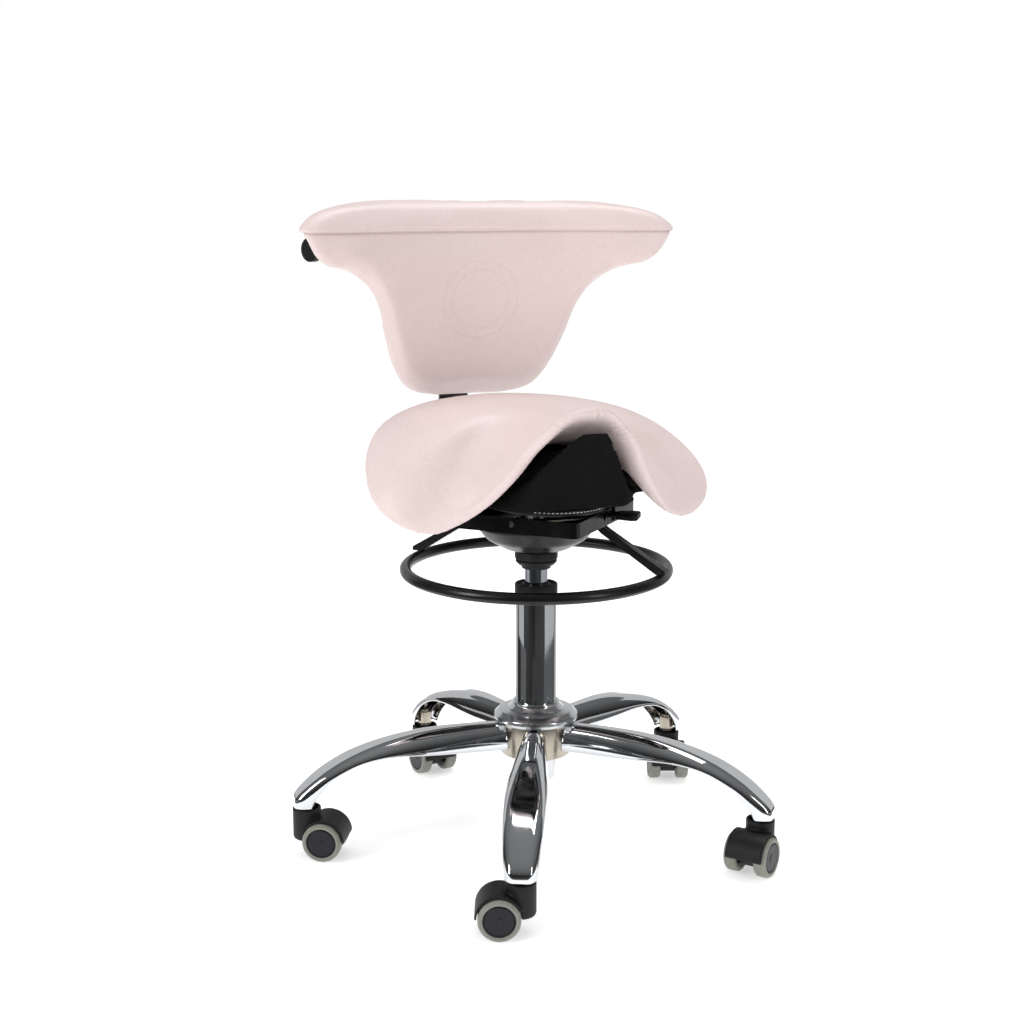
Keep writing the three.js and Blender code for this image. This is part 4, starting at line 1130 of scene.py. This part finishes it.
ROSETTE_HEIGHT = 648
ROSETTE_RINGS = (38, 50)
STITCH_SPACING = 4.6
tone_thread = sewing_thread("tone_on_tone_thread", "cdb5b1")
runs = []
for radius in ROSETTE_RINGS:
    count = int(2 * math.pi * radius / STITCH_SPACING)
    for index in range(count):
        turn = 2 * math.pi * index / count
        onward = Vector((-math.sin(turn), 0, math.cos(turn)))
        start = column + Vector((radius * math.cos(turn), 0, ROSETTE_HEIGHT + radius * math.sin(turn))) * MM
        hit, normal, _, _ = surface.ray_cast(start, Vector((0, 1, 0)))
        if hit is not None:
            runs.append((hit + normal * 0.05 * MM, onward))
stitches("plain_rosette", runs, 3.2, 0.7, [tone_thread], "backrest", "pink_leather")

# ---- Backrest structure ----
# Behind the pad: a moulded board, a bent cross tube on an upright, and a carrier that slides on a
# bent steel bar from the tray, clamped by a star knob.

board = remade("backrest_board", 1.6 * MM, 3, 0)
piece("moulded_board", board, [nylon], "backrest", "black_nylon", "backrest_board")

bar_low, bar_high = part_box("backrest_bar")
bar_back = (bar_high.y - column.y) / MM
bar_foot = bar_low.z / MM
bar_start = (bar_low.y - column.y) / MM
BAR_BEND = 45
STRIP = 8
bm = bmesh.new()
strap(bm, [(-bar_start, bar_foot, 0.8), (-bar_back, bar_foot, BAR_BEND), (-bar_back, bar_high.z / MM, 2.5),
           (-bar_back + STRIP, bar_high.z / MM, 2.5), (-bar_back + STRIP, bar_foot + STRIP, BAR_BEND - STRIP),
           (-bar_start, bar_foot + STRIP, 0.8)], (bar_high.x - bar_low.x) / MM, beam(0), 1)
piece("bent_bar", bm, [satin_black], "mechanism", "black_paint", "backrest_bar")
softened("sliding_carrier", "backrest_carrier", 1.2, [nylon], "carrier", "black_nylon")
softened("star_knob", "backrest_knob", 0.9, [nylon], "backrest_knob", "black_nylon", 35)

hinge = Vector(joints["backrest_angle"]["pos_m"])
TUBE_RADIUS = 11
TUBE_PLAN = 471
TUBE_HALF_TURN = math.radians(27.5)
frame_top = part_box("backrest_frame")[1].z
bm = bmesh.new()
first = back_centre + Matrix.Rotation(TUBE_HALF_TURN, 3, "Z") @ Vector((0, TUBE_PLAN * MM, 0))
first.z = frame_top - TUBE_RADIUS * MM
facing = Matrix.Rotation(TUBE_HALF_TURN, 4, "Z") @ Matrix.Rotation(math.pi / 2, 4, "Y")
bmesh.ops.create_circle(bm, cap_ends=True, segments=32, radius=TUBE_RADIUS * MM,
                        matrix=Matrix.Translation(first) @ facing)
bmesh.ops.spin(bm, geom=bm.faces[:], cent=back_centre, axis=(0, 0, 1), dvec=(0, 0, 0),
               angle=-2 * TUBE_HALF_TURN, steps=48, use_merge=False, use_duplicate=False)
KNUCKLE = 8
KNUCKLE_WIDTH = 26
turn = Matrix.Translation(hinge) @ Matrix.Rotation(math.pi / 2, 4, "Y")
bmesh.ops.create_cone(bm, cap_ends=True, segments=48, radius1=KNUCKLE * MM, radius2=KNUCKLE * MM,
                      depth=KNUCKLE_WIDTH * MM, matrix=turn)
hinge_back = (hinge.y - column.y) / MM
hinge_up = hinge.z / MM
cross_back = (back_centre.y - column.y) / MM + TUBE_PLAN
cross_up = first.z / MM
upright = bmesh.new()
strap(upright, [(-hinge_back + KNUCKLE, hinge_up, 1), (-cross_back + 1, cross_up, 1),
                (-cross_back - 5, cross_up, 1), (-hinge_back + KNUCKLE - 6, hinge_up, 1)],
      KNUCKLE_WIDTH - 2, beam(0), 0.8)
bm.from_mesh(kept(upright))
piece("bent_frame", bm, [satin_black], "backrest", "black_paint", "backrest_frame")

CAP_RADIUS = 15
CAP_HALF = 5.7
for word, side in (("left", 1), ("right", -1)):
    low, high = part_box(f"tube_cap_{word}")
    middle = (low + high) / 2
    angle = math.atan2(middle.x - back_centre.x, middle.y - back_centre.y)
    bm = bmesh.new()
    turned(bm, [(0, -CAP_HALF, 0), (CAP_RADIUS, -CAP_HALF, 0.8), (CAP_RADIUS, CAP_HALF - 1, 2),
                (CAP_RADIUS - 3, CAP_HALF, 1), (CAP_RADIUS - 4, CAP_HALF - 0.8, 0.4), (0, CAP_HALF - 0.3, 0)],
           ORIGIN, 64, False)
    bm.transform(Matrix.Translation(middle) @ Matrix.Rotation(-angle, 4, "Z")
                 @ Matrix.Rotation(side * math.pi / 2, 4, "Y"))
    piece(f"end_cap_{word}", bm, [nylon], "backrest", "black_nylon", f"tube_cap_{word}")

# ---- Studio ----
# A pale sweep of floor under soft boxes, with glowing cards, seen only in reflections, that paint a dark room
# behind the camera for the chrome to mirror.


def emitter(name, colour, size, place, target, power):
    """A soft box: an area light at a place, aimed at a target."""
    light = bpy.data.lights.new(name, "AREA")
    light.shape = "RECTANGLE"
    light.size, light.size_y = size
    light.energy = power
    light.color = linear(colour)[:3]
    box = linked(name, light)
    box.location = place
    box.rotation_euler = (target - place).to_track_quat("-Z", "Y").to_euler()


def plain(name, colour, glow=0.0):
    """A flat studio finish for the floor and the screens."""
    made, tree, shader, _ = finish(name, colour, 0.9)
    shader.inputs["Specular IOR Level"].default_value = 0.1
    shader.inputs["Emission Color"].default_value = linear(colour)
    shader.inputs["Emission Strength"].default_value = glow
    return made


bm = bmesh.new()
bmesh.ops.create_grid(bm, x_segments=2, y_segments=2, size=12)
floor = linked("floor", kept(bm, "floor"))
floor.data.materials.append(plain("pale_floor", "f8f8f8", 0.47))

# The world lights everything evenly, and looks a full white only where the camera sees it.
world = bpy.data.worlds.new("studio")
world.use_nodes = True
sky = world.node_tree.nodes["Background"]
seen = node(world.node_tree, "ShaderNodeLightPath").outputs["Is Camera Ray"]
sky.inputs["Color"].default_value = (1, 1, 1, 1)
world.node_tree.links.new(between(world.node_tree, seen, 0.62, 1), sky.inputs["Strength"])
bpy.context.scene.world = world

# Dark cards stand round the camera's side and overhead, and lie on the floor in front; they glow, though they
# are no lamps. Only shiny finishes see them, so they paint reflections, the dark and pale bands in the chrome,
# and take no light from the rest.
CAMERA_TURN = math.radians(20)


def reflected_only(name, bm, finishes):
    """A stage card that only mirror reflections see."""
    card = linked(name, kept(bm, name))
    for one in finishes:
        card.data.materials.append(one)
    card.visible_camera = False
    card.visible_diffuse = False
    card.visible_shadow = False


def from_camera(point):
    """A point's bearing from the camera's side, positive to its right, and its elevation, in degrees."""
    away = point - column
    turn = math.degrees(math.atan2(away.x, -away.y)) + math.degrees(CAMERA_TURN)
    return (turn + 180) % 360 - 180, math.degrees(math.atan2(away.z, away.xy.length))


bm = bmesh.new()
bmesh.ops.create_uvsphere(bm, u_segments=90, v_segments=60, radius=5, matrix=Matrix.Translation(column))
outside = []
for face in bm.faces:
    bearing, rise = from_camera(face.calc_center_median())
    if rise < -3 or abs(bearing) > 122 and rise < 30:
        outside.append(face)
bmesh.ops.delete(bm, geom=outside, context="FACES")
# Painted reflection: the dome glows more the higher it is, standing in for a dark room lit from above.
dome_painted_glow, tree, shader, place = finish("dark_dome_painted_glow", "000000", 1.0)
height = node(tree, "ShaderNodeSeparateXYZ", None, {"Vector": place}).outputs["Z"]
shader.inputs["Emission Color"].default_value = (1, 1, 1, 1)
tree.links.new(between(tree, height, 0.012, 0.24, 0.2, 5), shader.inputs["Emission Strength"])
reflected_only("dark_dome", bm, [dome_painted_glow])

# Glowing bands on the floor card, by bearing, are painted reflections: the pale ones paint bright streaks, the
# others dark bands. The near ones show in the column, the far ones in the lift.
CARD_GLOW = {"black": 0.006, "charcoal": 0.036, "slate": 0.1, "pale": 0.5}
NEAR_BANDS = [(-150, -123, "pale"), (-95, -57, "slate"), (-20, -6, "charcoal"), (-6, 45, "charcoal"),
              (45, 118, "slate"), (123, 150, "pale")]
FAR_BANDS = [(-150, -123, "pale"), (-112, -72, "pale"), (-6, 40, "charcoal"), (48, 118, "pale"),
             (123, 150, "pale")]
BANDS_FROM = math.radians(-150)
for first, last, bands in ((0.56, 1.26, NEAR_BANDS), (1.26, 5, FAR_BANDS)):
    bm = bmesh.new()
    inner = [bm.verts.new(column + Vector((0, -reach, 0.002))) for reach in (first, last)]
    edge = bm.edges.new(inner)
    bmesh.ops.rotate(bm, verts=inner, cent=column, matrix=Matrix.Rotation(BANDS_FROM - CAMERA_TURN, 3, "Z"))
    bmesh.ops.spin(bm, geom=inner + [edge], cent=column, axis=(0, 0, 1), dvec=(0, 0, 0),
                   angle=-2 * BANDS_FROM, steps=300, use_merge=False, use_duplicate=False)
    for face in bm.faces:
        bearing, _ = from_camera(face.calc_center_median())
        word = next((word for start, end, word in bands if start < bearing < end), "black")
        face.material_index = list(CARD_GLOW).index(word)
    painted_reflection_bands = []
    for word, level in CARD_GLOW.items():
        made, _, shader, _ = finish(f"{word}_card", "000000", 1.0)
        shader.inputs["Emission Color"].default_value = (1, 1, 1, 1)
        shader.inputs["Emission Strength"].default_value = level
        painted_reflection_bands.append(made)
    reflected_only(f"floor_card_{len(bands)}", bm, painted_reflection_bands)


def around(bearing, distance, height):
    """A place at a bearing from the camera's side, positive to its right, in degrees."""
    turn = math.radians(bearing) - CAMERA_TURN
    return column + Vector((math.sin(turn) * distance, -math.cos(turn) * distance, height))


aim = column + Vector((0, 0, 0.4))
emitter("left_box", "ffffff", (0.9, 2.2), around(-58, 3.2, 1.5), aim, 42)
emitter("right_box", "ffffff", (0.35, 2.2), around(50, 3.2, 1.2), aim, 16)
emitter("top_box", "ffffff", (1.6, 1.6), around(160, 0.9, 3.0), aim, 36)

eye = column + Vector((-0.6815, -1.7867, 0.779))
PITCH = math.radians(11.035)
lens = bpy.data.cameras.new("camera")
lens.sensor_width = 36
lens.lens = 57.01
camera = linked("camera", lens)
camera.location = eye
camera.rotation_euler = (math.pi / 2 - PITCH, 0, -CAMERA_TURN)
bpy.context.scene.camera = camera
bpy.context.scene.view_settings.view_transform = "Standard"
